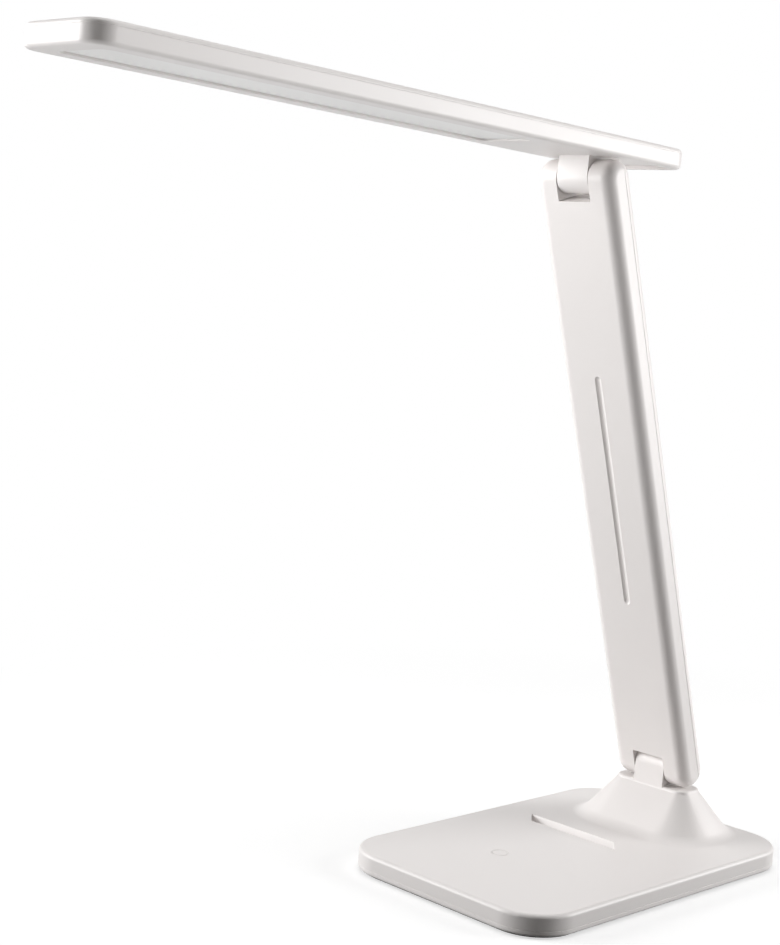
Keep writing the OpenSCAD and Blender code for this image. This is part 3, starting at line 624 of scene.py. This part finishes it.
def stand_in(piece: bpy.types.Object, body: str, node: str) -> None:
    """Puts a piece on its body, in a node's place.

    Args:
        piece: the finished piece.
        body: the body that it rides on.
        node: the CAD node that it stands for.
    """
    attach(piece, body)
    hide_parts(node)
    LOG.info("%s rides on %s", piece.name, body)


@dataclass(frozen=True)
class Part:
    """One CAD node and how it is finished."""

    node: str
    finish: Finishes
    edge: float = 0.12
    segments: int = 2

    def build(self, body: str) -> bpy.types.Object:
        """Makes the finished piece that stands for the node.

        Args:
            body: the body that it rides on.

        Returns:
            The piece.
        """
        treatment = EdgeTreatment(self.edge * MM, self.segments)
        piece = add_object(self.node + "_finished", treatment.copy(self.node))
        if self.edge > 0.0:
            treatment.apply(piece)
        self.finish.dress(piece)
        stand_in(piece, body, self.node)
        return piece


# ---------------------------------------------------------------------------- body axes


@dataclass(frozen=True)
class Axes:
    """The axes that a body was designed in: an origin on its hinge, turned about X."""

    origin: Point
    lean: float

    def matrix(self) -> Matrix:
        """From these axes to the frame's."""
        return Matrix.Translation(self.origin) @ Matrix.Rotation(self.lean, 4, "X")

    def box(self, node: str) -> tuple[Vector, Vector]:
        """Box of a node along these axes.

        Args:
            node: the CAD node's name.

        Returns:
            Its lowest and its highest corner.
        """
        back = self.matrix().inverted()
        spots = [back @ vertex.co for vertex in frame["nodes"][node].data.vertices]
        low = Vector([min(spot[i] for spot in spots) for i in range(3)])
        high = Vector([max(spot[i] for spot in spots) for i in range(3)])
        return low, high


def joint_place(name: str) -> Vector:
    """Where a joint's axis is.

    Args:
        name: the joint's name.

    Returns:
        Its place at rest.
    """
    return Vector(next(joint["pos_m"] for joint in frame["joints"] if joint["name"] == name))


LOWER_AXIS = joint_place("arm_fold")
UPPER_AXIS = joint_place("head_tilt")
HEAD_RISE = math.radians(2.7)
BASE_AXES = Axes((0.0, 0.0, 0.0), 0.0)
ARM_AXES = Axes(tuple(LOWER_AXIS), math.atan2(LOWER_AXIS.y - UPPER_AXIS.y, UPPER_AXIS.z - LOWER_AXIS.z))
HEAD_AXES = Axes(tuple(UPPER_AXIS), -HEAD_RISE)
FACING_DOWN: Point = (math.pi, 0.0, 0.0)
FACING_REAR: Point = (-math.pi / 2.0, 0.0, 0.0)


# ------------------------------------------------------------------------ repeated forms


class Repeater:
    """A Geometry Nodes tree with named inputs, whose result becomes a plain mesh."""

    def __init__(self, name: str, inputs: Sequence[tuple[str, str]]) -> None:
        """Starts a tree.

        Args:
            name: the tree's name.
            inputs: name and socket type of each input after the geometry.
        """
        self.tree = bpy.data.node_groups.new(name, "GeometryNodeTree")
        sockets = self.tree.interface
        sockets.new_socket("Geometry", in_out="INPUT", socket_type="NodeSocketGeometry")
        for label, kind in inputs:
            sockets.new_socket(label, in_out="INPUT", socket_type=kind)
        sockets.new_socket("Geometry", in_out="OUTPUT", socket_type="NodeSocketGeometry")
        self.source = self.tree.nodes.new("NodeGroupInput")

    def add(self, kind: str, settings: dict | None = None,
            inputs: dict | None = None) -> bpy.types.Node:
        """Adds a node.

        Args:
            kind: the node's type.
            settings: attributes, set first.
            inputs: from a socket's name or index to an output socket or a constant.

        Returns:
            The node.
        """
        made = self.tree.nodes.new(kind)
        for name, setting in (settings or {}).items():
            setattr(made, name, setting)
        for key, value in (inputs or {}).items():
            if isinstance(value, bpy.types.NodeSocket):
                self.tree.links.new(value, made.inputs[key])
            else:
                made.inputs[key].default_value = value
        return made

    def given(self, label: str) -> bpy.types.NodeSocket:
        """The socket of a named input."""
        return self.source.outputs[label]

    def repeat(self, points: bpy.types.NodeSocket, turn: bpy.types.NodeSocket) -> None:
        """Puts the form at each point, and ends the tree.

        Args:
            points: where the form goes.
            turn: the rotation of each.
        """
        form = self.add("GeometryNodeObjectInfo", {"transform_space": "ORIGINAL"},
                        {"Object": self.given("Form")})
        inputs = {"Points": points, "Instance": form.outputs["Geometry"], "Rotation": turn}
        self.close(self.add("GeometryNodeInstanceOnPoints", {}, inputs).outputs[0])

    def close(self, geometry: bpy.types.NodeSocket) -> None:
        """Realizes the instances, sets the material and ends the tree.

        Args:
            geometry: what the tree has made.
        """
        real = self.add("GeometryNodeRealizeInstances", {}, {"Geometry": geometry})
        inputs = {"Geometry": real.outputs[0], "Material": self.given("Finish")}
        coated = self.add("GeometryNodeSetMaterial", {}, inputs)
        self.add("NodeGroupOutput", {}, {0: coated.outputs[0]})

    def run(self, name: str, mesh: bpy.types.Mesh, values: dict[str, object]) -> bpy.types.Object:
        """Runs the tree on a mesh.

        Args:
            name: name of the new piece.
            mesh: the points or lines to work on.
            values: the inputs, by name.

        Returns:
            The piece, as a plain mesh.
        """
        piece = add_object(name, mesh)
        modifier = piece.modifiers.new("repeat", "NODES")
        modifier.node_group = self.tree
        keys = {item.name: item.identifier for item in self.tree.interface.items_tree
                if item.item_type == "SOCKET" and item.in_out == "INPUT"}
        for label, value in values.items():
            modifier[keys[label]] = value
        piece.update_tag()
        result = plain_mesh(piece)
        piece.modifiers.clear()
        piece.data = result
        return piece


class PointRepeater(Repeater):
    """Puts one form at each point of a mesh."""

    def __init__(self) -> None:
        """Builds the tree."""
        super().__init__("forms_at_points", (("Form", "NodeSocketObject"), ("Turn", "NodeSocketVector"),
                                             ("Finish", "NodeSocketMaterial")))
        turn = self.add("FunctionNodeEulerToRotation", {}, {0: self.given("Turn")})
        self.repeat(self.given("Geometry"), turn.outputs[0])


class GridRepeater(Repeater):
    """Puts one form at each point of a grid of columns and rows."""

    def __init__(self) -> None:
        """Builds the tree."""
        super().__init__("forms_on_grid", (
            ("Form", "NodeSocketObject"), ("Turn", "NodeSocketVector"), ("Middle", "NodeSocketVector"),
            ("Across", "NodeSocketInt"), ("Along", "NodeSocketInt"), ("Width", "NodeSocketFloat"),
            ("Length", "NodeSocketFloat"), ("Finish", "NodeSocketMaterial")))
        grid = self.add("GeometryNodeMeshGrid", {}, {
            "Size X": self.given("Width"), "Size Y": self.given("Length"),
            "Vertices X": self.given("Across"), "Vertices Y": self.given("Along")})
        turn = self.add("FunctionNodeEulerToRotation", {}, {0: self.given("Turn")}).outputs[0]
        placed = self.add("GeometryNodeTransform", {}, {
            "Geometry": grid.outputs[0], "Translation": self.given("Middle"), "Rotation": turn})
        self.repeat(placed.outputs[0], turn)


class CableRepeater(Repeater):
    """Sweeps a round wire along lines, with rounded bends."""

    STEPS_IN_BEND = 5
    SIDES = 14

    def __init__(self) -> None:
        """Builds the tree."""
        super().__init__("wires_on_lines", (("Radius", "NodeSocketFloat"), ("Bend", "NodeSocketFloat"),
                                            ("Finish", "NodeSocketMaterial")))
        line = self.add("GeometryNodeMeshToCurve", {}, {0: self.given("Geometry")})
        soft = self.add("GeometryNodeFilletCurve", {"mode": "POLY"}, {
            "Curve": line.outputs[0], "Count": self.STEPS_IN_BEND, "Radius": self.given("Bend"),
            "Limit Radius": True})
        ring = self.add("GeometryNodeCurvePrimitiveCircle", {}, {
            "Resolution": self.SIDES, "Radius": self.given("Radius")})
        tube = self.add("GeometryNodeCurveToMesh", {}, {
            "Curve": soft.outputs[0], "Profile Curve": ring.outputs[0], "Fill Caps": True})
        self.close(self.add("GeometryNodeSetShadeSmooth", {}, {"Geometry": tube.outputs[0]}).outputs[0])


@dataclass(frozen=True)
class ScrewForm:
    """A cross-head screw: the head's top is at the origin and the shank points down.

    The crown is the head's outline, as shares of its radius and of its height. Sizes of the recess are
    shares too.
    """

    head_radius: float
    head_height: float
    shank_radius: float
    length: float
    pitch: float = 0.0008
    thread_depth: float = 0.00022
    around: int = 20
    steps: int = 5
    crown: tuple[tuple[float, float], ...] = (
        (0.5, 0.0), (0.80, 0.02), (0.94, 0.12), (1.0, 0.35), (1.0, 1.0))
    tip_share: float = 0.6
    recess_reach: float = 0.62
    recess_half_w: float = 0.15
    recess_depth: float = 0.7
    recess_foot: float = 0.55
    recess_above: float = 0.3
    sharp: float = math.radians(35.0)

    def _rings(self) -> list[Ring]:
        """Lays out the rings, from the head's top to the tip.

        Returns:
            Radius, height and share of thread of each ring.
        """
        high = self.head_height
        rings = [(share * self.head_radius, -drop * high, 0.0) for share, drop in self.crown]
        rings.append((self.shank_radius, -high, 0.0))
        tip = self.length - self.shank_radius
        count = int((tip - high) / self.pitch * self.steps)
        for i in range(1, count + 1):
            rings.append((self.shank_radius, -(high + (tip - high) * i / count), 1.0))
        rings.append((self.tip_share * self.shank_radius, -(tip + self.length) / 2.0, 0.0))
        return rings

    def _cutter(self) -> bpy.types.Object:
        """Makes what cuts the cross recess.

        Returns:
            The cutter, narrower at its foot.
        """
        reach, half = self.recess_reach * self.head_radius, self.recess_half_w * self.head_radius
        quarter = ((half, half), (half, reach), (-half, reach))
        corners = []
        for _ in range(4):
            corners += quarter
            quarter = tuple((-y, x) for x, y in quarter)
        above, depth = self.recess_above * self.head_height, self.recess_depth * self.head_height
        foot = self.recess_foot
        points = [(x, y, above) for x, y in corners] + [(foot * x, foot * y, -depth) for x, y in corners]
        count = len(corners)
        faces = [tuple(range(count)), tuple(range(count, 2 * count))[::-1]]
        faces += [(i + count, (i + 1) % count + count, (i + 1) % count, i) for i in range(count)]
        mesh = bpy.data.meshes.new("recess")
        mesh.from_pydata(points, [], faces)
        return add_object("recess", mesh)

    def build(self, name: str) -> bpy.types.Object:
        """Makes the form.

        Args:
            name: the object's name.

        Returns:
            An object outside the scene, ready to be repeated.
        """
        shape = bmesh.new()
        loops = []
        for radius, z, thread in self._rings():
            loop = []
            for k in range(self.around):
                share = k / self.around
                angle = WHOLE_TURN * share
                wave = abs(2.0 * ((-z / self.pitch + share) % 1.0) - 1.0)
                r = radius - thread * self.thread_depth * wave
                loop.append(shape.verts.new((r * math.cos(angle), r * math.sin(angle), z)))
            loops.append(loop)
        for above, below in zip(loops, loops[1:]):
            for k in range(self.around):
                n = (k + 1) % self.around
                shape.faces.new((above[k], below[k], below[n], above[n]))
        tip = shape.verts.new((0.0, 0.0, -self.length))
        for k in range(self.around):
            shape.faces.new((loops[-1][k], tip, loops[-1][(k + 1) % self.around]))
        shape.faces.new(loops[0])
        screw, cutter = closed_form(name, shape), self._cutter()
        cut = screw.modifiers.new("recess", "BOOLEAN")
        cut.operation = "DIFFERENCE"
        cut.solver = "EXACT"
        cut.object = cutter
        screw.data = plain_mesh(screw)
        screw.modifiers.clear()
        bpy.data.objects.remove(cutter)
        screw.data.shade_smooth()
        screw.data.set_sharp_from_angle(angle=self.sharp)
        bpy.context.scene.collection.objects.unlink(screw)
        return screw


@dataclass(frozen=True)
class ScrewSet:
    """The screws of one node: a rectangular pattern of equal screws that all point the same way."""

    node: str
    axes: Axes
    turn: Point
    head_height: float = 0.0014
    shank_radius: float = 0.0012
    head_radius: float = 0.0025
    upright: int = 2

    def _rows(self, low: Vector, high: Vector, axis: int) -> list[float]:
        """Places of the screws along one axis.

        Args:
            low: the node's lowest corner.
            high: its highest corner.
            axis: the axis.

        Returns:
            One or two places.
        """
        first, last = low[axis] + self.head_radius, high[axis] - self.head_radius
        return [(first + last) / 2.0] if last - first < self.head_radius else [first, last]

    def build(self, body: str, repeater: PointRepeater) -> None:
        """Makes the screws.

        Args:
            body: the body that they ride on.
            repeater: the tree that places them.
        """
        low, high = self.axes.box(self.node)
        length = high[self.upright] - low[self.upright]
        spin = Euler(self.turn).to_matrix()
        out = spin @ Vector((0.0, 0.0, 1.0))
        top = high[self.upright] if out[self.upright] > 0.0 else low[self.upright]
        spots = []
        across = [axis for axis in range(3) if axis != self.upright]
        for a in self._rows(low, high, across[0]):
            for b in self._rows(low, high, across[1]):
                spot = [0.0, 0.0, 0.0]
                spot[across[0]], spot[across[1]], spot[self.upright] = a, b, top
                spots.append(self.axes.matrix() @ Vector(spot))
        screw = ScrewForm(self.head_radius, self.head_height, self.shank_radius, length)
        mesh = bpy.data.meshes.new(self.node + "_places")
        mesh.from_pydata(spots, [], [])
        turn = (self.axes.matrix().to_3x3() @ spin).to_euler()
        piece = repeater.run(self.node + "_finished", mesh, {
            "Form": screw.build(self.node + "_form"), "Turn": tuple(turn),
            "Finish": Finishes.PLATED.value.material()})
        stand_in(piece, body, self.node)


@dataclass(frozen=True)
class WireSet:
    """The wires of one node, swept again with rounded bends along the same lines."""

    node: str
    radius: float = 0.00058
    bend: float = 0.0022
    sides: int = 8

    def _lines(self) -> list[list[Vector]]:
        """Reads the wires' middle lines off the rings of the CAD tubes.

        Returns:
            The points of each wire's line.
        """
        shape = welded(self.node)
        shape.verts.index_update()
        caps = [face for face in shape.faces if len(face.verts) == self.sides]
        caps.sort(key=lambda face: face.calc_center_median().z)
        done: set[bmesh.types.BMVert] = set()
        lines = []
        for cap in caps:
            ring = set(cap.verts)
            if ring & done:
                continue
            line = []
            while ring:
                done |= ring
                corners = sorted(ring, key=lambda corner: corner.index)
                line.append(sum((corner.co for corner in corners), Vector()) / len(corners))
                ring = {e.other_vert(v) for v in ring for e in v.link_edges} - done
            lines.append(line)
        shape.free()
        return lines

    def build(self, body: str, repeater: CableRepeater) -> None:
        """Makes the wires.

        Args:
            body: the body that they ride on.
            repeater: the tree that sweeps them.
        """
        points, edges = [], []
        for line in self._lines():
            edges += [(len(points) + i, len(points) + i + 1) for i in range(len(line) - 1)]
            points += line
        mesh = bpy.data.meshes.new(self.node + "_lines")
        mesh.from_pydata(points, edges, [])
        piece = repeater.run(self.node + "_finished", mesh, {
            "Radius": self.radius, "Bend": self.bend, "Finish": Finishes.WIRE.value.material()})
        stand_in(piece, body, self.node)


# ------------------------------------------------------------------------- sub-assemblies


@dataclass(frozen=True)
class Tools:
    """The trees that repeat forms, shared by the sub-assemblies."""

    points: PointRepeater
    grids: GridRepeater
    cables: CableRepeater


@dataclass(frozen=True)
class SubAssembly:
    """Pieces that move as one body."""

    body: str
    parts: tuple[Part, ...]
    screws: tuple[ScrewSet, ...]
    wires: tuple[WireSet, ...]

    def build(self, tools: Tools) -> None:
        """Makes every piece.

        Args:
            tools: the trees that repeat forms.
        """
        for part in self.parts:
            part.build(self.body)
        for screws in self.screws:
            screws.build(self.body, tools.points)
        for wires in self.wires:
            wires.build(self.body, tools.cables)


@dataclass(frozen=True)
class Base(SubAssembly):
    """The weighted base: two shells, foot pad, ballast, hinge post and electronics."""

    body: str = "base"
    parts: tuple[Part, ...] = (
        Part("base_top_shell", Finishes.SHELL, 0.16, 3),
        Part("base_bottom_shell", Finishes.SHELL, 0.16, 3),
        Part("foot_pad", Finishes.RUBBER, 0.3, 3),
        Part("ballast_plate", Finishes.STEEL, 0.3),
        Part("hinge_post", Finishes.STEEL, 0.2),
        Part("control_board", Finishes.BOARD, 0.05),
        Part("board_parts", Finishes.BLACK, 0.15),
        Part("touch_board", Finishes.BOARD, 0.05),
        Part("power_inlet", Finishes.BLACK, 0.15),
        Part("inlet_pin", Finishes.BRASS, 0.15),
        Part("lower_bush", Finishes.PLATED, 0.15),
        Part("lower_pin", Finishes.PLATED, 0.2),
        Part("lower_friction_washers", Finishes.BRASS, 0.05),
        Part("lower_spring_washers", Finishes.STEEL, 0.05),
        Part("lower_nut", Finishes.PLATED, 0.2),
    )
    screws: tuple[ScrewSet, ...] = (
        ScrewSet("base_screws", BASE_AXES, FACING_DOWN),
        ScrewSet("post_screws", BASE_AXES, FACING_DOWN),
    )
    wires: tuple[WireSet, ...] = (WireSet("touch_lead"), WireSet("base_lead"))


@dataclass(frozen=True)
class Arm(SubAssembly):
    """The arm: two shells screwed together over a steel spine."""

    body: str = "arm"
    parts: tuple[Part, ...] = (
        Part("arm_front_shell", Finishes.SHELL, 0.16, 3),
        Part("arm_rear_shell", Finishes.SHELL, 0.16, 3),
        Part("arm_spine", Finishes.STEEL, 0.2),
    )
    screws: tuple[ScrewSet, ...] = (ScrewSet("arm_screws", ARM_AXES, FACING_REAR, 0.0008, upright=1),)
    wires: tuple[WireSet, ...] = (WireSet("arm_lead"),)


@dataclass(frozen=True)
class LedArray:
    """The white packages on the LED board and the yellow phosphor in their cups.

    Each is a stack of rings: share of the package's size, cut at the corners in metres, and share of
    the package's height.
    """

    node: str = "leds"
    width: float = 0.0028
    half_length_share: float = 0.625
    pitch: float = 0.011
    rows: int = 2
    package: tuple[Ring, ...] = ((1.0, 0.00005, 0.0), (1.0, 0.00025, 0.85), (0.96, 0.00025, 1.0),
                                 (0.80, 0.0004, 1.0), (0.68, 0.0004, 0.40))
    phosphor: tuple[Ring, ...] = ((0.71, 0.0004, 0.5), (0.78, 0.0004, 0.88), (0.45, 0.0003, 0.94))

    @staticmethod
    def _loop(shape: bmesh.types.BMesh, half: tuple[float, float], cut: float,
              z: float) -> list[bmesh.types.BMVert]:
        """One ring of corners, each corner cut off.

        Args:
            shape: the mesh in the making.
            half: half the ring's width and length.
            cut: how much each corner loses.
            z: its height.

        Returns:
            Its vertices, all the way round.
        """
        a, b = half
        spots = [(a, b - cut), (a - cut, b), (cut - a, b), (-a, b - cut), (-a, cut - b), (cut - a, -b),
                 (a - cut, -b), (a, cut - b)]
        return [shape.verts.new((x, y, z)) for x, y in spots]

    def _form(self, name: str, rings: Sequence[Ring], half: tuple[float, float],
              tall: float) -> bpy.types.Object:
        """Makes a form from rings.

        Args:
            name: the object's name.
            rings: the stack of rings.
            half: half the package's width and length.
            tall: the package's height.

        Returns:
            An object outside the scene.
        """
        shape = bmesh.new()
        loops = [self._loop(shape, (half[0] * share, half[1] * share), cut, level * tall)
                 for share, cut, level in rings]
        for above, below in zip(loops, loops[1:]):
            for k in range(len(above)):
                n = (k + 1) % len(above)
                shape.faces.new((above[k], above[n], below[n], below[k]))
        shape.faces.new(loops[0])
        shape.faces.new(loops[-1][::-1])
        form = closed_form(name, shape)
        bpy.context.scene.collection.objects.unlink(form)
        return form

    def build(self, body: str, repeater: GridRepeater) -> None:
        """Makes packages and phosphor.

        Args:
            body: the body that they ride on.
            repeater: the tree that places them.
        """
        low, high = HEAD_AXES.box(self.node)
        span = high - low
        half = (self.width / 2.0, self.width * self.half_length_share)
        middle = (low + high) / 2.0
        middle.z = high.z
        turn = (HEAD_AXES.matrix().to_3x3() @ Euler(FACING_DOWN).to_matrix()).to_euler()
        length = span.y - 2.0 * half[1]
        values = {"Turn": tuple(turn), "Middle": tuple(HEAD_AXES.matrix() @ middle),
                  "Across": self.rows, "Along": round(length / self.pitch) + 1,
                  "Width": span.x - self.width, "Length": length}
        for name, rings, finish in (("leds_finished", self.package, Finishes.REFLECTOR),
                                    ("leds_phosphor", self.phosphor, Finishes.PHOSPHOR)):
            form = self._form(name + "_form", rings, half, span.z)
            start = bpy.data.meshes.new(name + "_start")
            piece = repeater.run(name, start, {
                "Form": form, "Finish": finish.value.material(), **values})
            if rings is self.package:
                stand_in(piece, body, self.node)
            else:
                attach(piece, body)
                LOG.info("%s rides on %s", piece.name, body)


@dataclass(frozen=True)
class Head(SubAssembly):
    """The head: top cover, bottom frame, light unit, tail panel and upper hinge."""

    body: str = "head"
    parts: tuple[Part, ...] = (
        Part("head_top_cover", Finishes.SHADE, 0.16, 3),
        Part("head_bottom_frame", Finishes.SHADE, 0.16, 3),
        Part("head_bracket", Finishes.STEEL, 0.2),
        Part("diffuser", Finishes.OPAL, 0.2),
        Part("light_frame", Finishes.REFLECTOR, 0.15),
        Part("led_board", Finishes.LED_BOARD, 0.05),
        Part("tail_panel", Finishes.SHADE, 0.15),
        Part("upper_bush", Finishes.PLATED, 0.15),
        Part("upper_pin", Finishes.PLATED, 0.2),
        Part("upper_friction_washers", Finishes.BRASS, 0.05),
        Part("upper_spring_washers", Finishes.STEEL, 0.05),
        Part("upper_nut", Finishes.PLATED, 0.2),
    )
    screws: tuple[ScrewSet, ...] = (
        ScrewSet("bracket_screws", HEAD_AXES, (0.0, 0.0, 0.0), 0.0011),
        ScrewSet("tail_screws", HEAD_AXES, FACING_DOWN, 0.0007, 0.0009, 0.0019),
    )
    wires: tuple[WireSet, ...] = (WireSet("head_lead"),)
    lights: LedArray = LedArray()

    def build(self, tools: Tools) -> None:
        """Makes every piece.

        Args:
            tools: the trees that repeat forms.
        """
        super().build(tools)
        self.lights.build(self.body, tools.grids)


# --------------------------------------------------------------------------------- studio


@dataclass(frozen=True)
class CameraRig:
    """The camera, in front of the lamp and to its right."""

    place: Point = (0.50525, -0.68680, 0.26416)
    heading: float = 45.500
    pitch: float = -6.524
    roll: float = 3.757
    lens: float = 69.634
    sensor: float = 36.0
    nearest: float = 0.02

    def build(self) -> None:
        """Makes the camera and sets it as the scene's."""
        data = bpy.data.cameras.new("camera")
        data.sensor_fit = "AUTO"
        data.sensor_width = self.sensor
        data.lens = self.lens
        data.clip_start = self.nearest
        camera = bpy.data.objects.new("camera", data)
        bpy.context.scene.collection.objects.link(camera)
        turn = Matrix.Rotation(math.radians(self.heading), 4, "Z")
        tilt = Matrix.Rotation(math.radians(90.0 + self.pitch), 4, "X")
        roll = Matrix.Rotation(math.radians(self.roll), 4, "Z")
        camera.matrix_world = Matrix.Translation(self.place) @ turn @ tilt @ roll
        bpy.context.scene.camera = camera


@dataclass(frozen=True)
class Softbox:
    """A square area lamp that faces the lamp's middle."""

    name: str
    place: Point
    size: float
    power: float
    colour: Colour = (1.0, 1.0, 1.0)
    aim: Point = (0.0, -0.10, 0.16)

    def build(self) -> None:
        """Makes the lamp."""
        data = bpy.data.lights.new(self.name, "AREA")
        data.shape = "SQUARE"
        data.size = self.size
        data.energy = self.power
        data.color = self.colour
        lamp = bpy.data.objects.new(self.name, data)
        bpy.context.scene.collection.objects.link(lamp)
        lamp.visible_camera = False
        lamp.location = self.place
        lamp.rotation_euler = (Vector(self.place) - Vector(self.aim)).to_track_quat("Z", "Y").to_euler()


@dataclass(frozen=True)
class Flag:
    """An upright dark card round the object, which only reflections and soft light meet."""

    name: str
    heading: float
    distance: float
    width: float
    colour: Colour
    height: float = 2.2

    def build(self) -> None:
        """Makes the card, turned to face the middle."""
        turn = Matrix.Rotation(math.radians(self.heading), 4, "Z")
        corners = [turn @ Vector((x * self.width / 2.0, -self.distance, z * self.height))
                   for x, z in ((-1, 0), (1, 0), (1, 1), (-1, 1))]
        mesh = bpy.data.meshes.new(self.name)
        mesh.from_pydata(corners, [], [(0, 1, 2, 3)])
        card = add_object(self.name, mesh)
        made = bpy.data.materials.new(self.name + "_cloth")
        shader = Shader(made)
        cloth = shader.node("ShaderNodeBsdfDiffuse", {}, {"Color": (*self.colour, 1.0)})
        shader.node("ShaderNodeOutputMaterial", {}, {"Surface": cloth})
        card.data.materials.append(made)
        card.visible_camera = False
        card.visible_shadow = False


@dataclass(frozen=True)
class Studio:
    """A pale floor that fades into a white background, and soft lamps on three sides."""

    floor_half: float = 4.0
    floor_white: float = 1.25
    floor_mirrored: float = 0.80
    floor_bounce: float = 0.80
    mat_bounce: float = 0.04
    mat_middle: Point = (0.035, -0.115, 0.0)
    mat_reach: tuple[float, float] = (0.15, 0.34)
    floor_cover: float = 0.55
    fade_start: float = 0.22
    fade_end: float = 0.45
    ambient: float = 0.02
    flags: tuple[Flag, ...] = (
        Flag("front_flag", 45.5, 1.5, 1.3, (0.060, 0.040, 0.022)),
        Flag("right_flag", 185.5, 1.5, 1.3, (0.050, 0.048, 0.048)),
        Flag("left_flag", 261.5, 1.5, 1.0, (0.050, 0.048, 0.048)),
    )
    lamps: tuple[Softbox, ...] = (
        Softbox("left_softbox", (-0.900, -0.900, 0.40), 0.9, 18.4),
        Softbox("right_softbox", (0.800, 0.790, 0.40), 0.75, 13.5),
        Softbox("top_softbox", (0.0, -0.10, 1.25), 0.9, 5.8),
    )

    @staticmethod
    def _mirrored(shader: Shader) -> Value:
        """1 for glossy and transmission rays."""
        glossy = shader.node("ShaderNodeLightPath", out="Is Glossy Ray")
        return glossy | shader.node("ShaderNodeLightPath", out="Is Transmission Ray")

    def _seen(self, shader: Shader) -> Value:
        """1 for camera, glossy and transmission rays."""
        return shader.node("ShaderNodeLightPath", out="Is Camera Ray") | self._mirrored(shader)

    def _bounce(self, shader: Shader) -> Value:
        """How much light the floor gives back: little from the dark mat round the base.

        Args:
            shader: the tree to fill.

        Returns:
            The floor's tone for soft light.
        """
        offset = {0: shader.place(), 1: self.mat_middle}
        spot = shader.node("ShaderNodeVectorMath", {"operation": "SUBTRACT"}, offset, out="Vector")
        return shader.ease(shader.reach(spot), *self.mat_reach, self.mat_bounce, self.floor_bounce)

    def _floor(self) -> None:
        """Makes the floor."""
        half = self.floor_half
        mesh = bpy.data.meshes.new("floor")
        corners = [(-half, -half, 0.0), (half, -half, 0.0), (half, half, 0.0), (-half, half, 0.0)]
        mesh.from_pydata(corners, [], [(0, 1, 2, 3)])
        floor = add_object("floor", mesh)
        made = bpy.data.materials.new("pale_floor")
        shader = Shader(made)
        away = shader.reach(shader.place())
        fade = shader.ease(away, self.fade_start, self.fade_end, self.floor_cover, 1.0)
        camera = shader.node("ShaderNodeLightPath", out="Is Camera Ray")
        mirrored, seen = self._mirrored(shader), self._seen(shader)
        tone = (camera * self.floor_white + mirrored * self.floor_mirrored
                + self._bounce(shader) * (1.0 - seen))
        matt = shader.node("ShaderNodeBsdfDiffuse", {}, {"Color": tone})
        white = shader.node("ShaderNodeEmission", {}, {"Color": WHITE, "Strength": 1.0})
        both = shader.node("ShaderNodeMixShader", {}, {0: fade * seen, 1: matt, 2: white})
        clear = shader.node("ShaderNodeBsdfTransparent", {}, {})
        under = shader.node("ShaderNodeNewGeometry", out="Backfacing") * camera
        whole = shader.node("ShaderNodeMixShader", {}, {0: under, 1: both, 2: clear})
        shader.node("ShaderNodeOutputMaterial", {}, {"Surface": whole})
        floor.data.materials.append(made)

    def _world(self) -> None:
        """Makes the white background and the light of the room."""
        world = bpy.data.worlds.new("studio")
        bpy.context.scene.world = world
        shader = Shader(world)
        level = self._seen(shader) * (1.0 - self.ambient) + self.ambient
        light = shader.node("ShaderNodeBackground", {}, {"Color": WHITE, "Strength": level})
        shader.node("ShaderNodeOutputWorld", {}, {"Surface": light})

    def build(self) -> None:
        """Makes floor, background and lamps."""
        bpy.context.scene.view_settings.view_transform = "Standard"
        self._world()
        self._floor()
        for flag in self.flags:
            flag.build()
        for lamp in self.lamps:
            lamp.build()


def main() -> None:
    """Builds the camera, the lamp's sub-assemblies and the studio, in that order."""
    logging.basicConfig(level=logging.INFO, format="%(name)s: %(message)s")
    CameraRig().build()
    tools = Tools(PointRepeater(), GridRepeater(), CableRepeater())
    for assembly in (Base(), Arm(), Head()):
        assembly.build(tools)
    Studio().build()


if __name__ == "__main__":
    main()
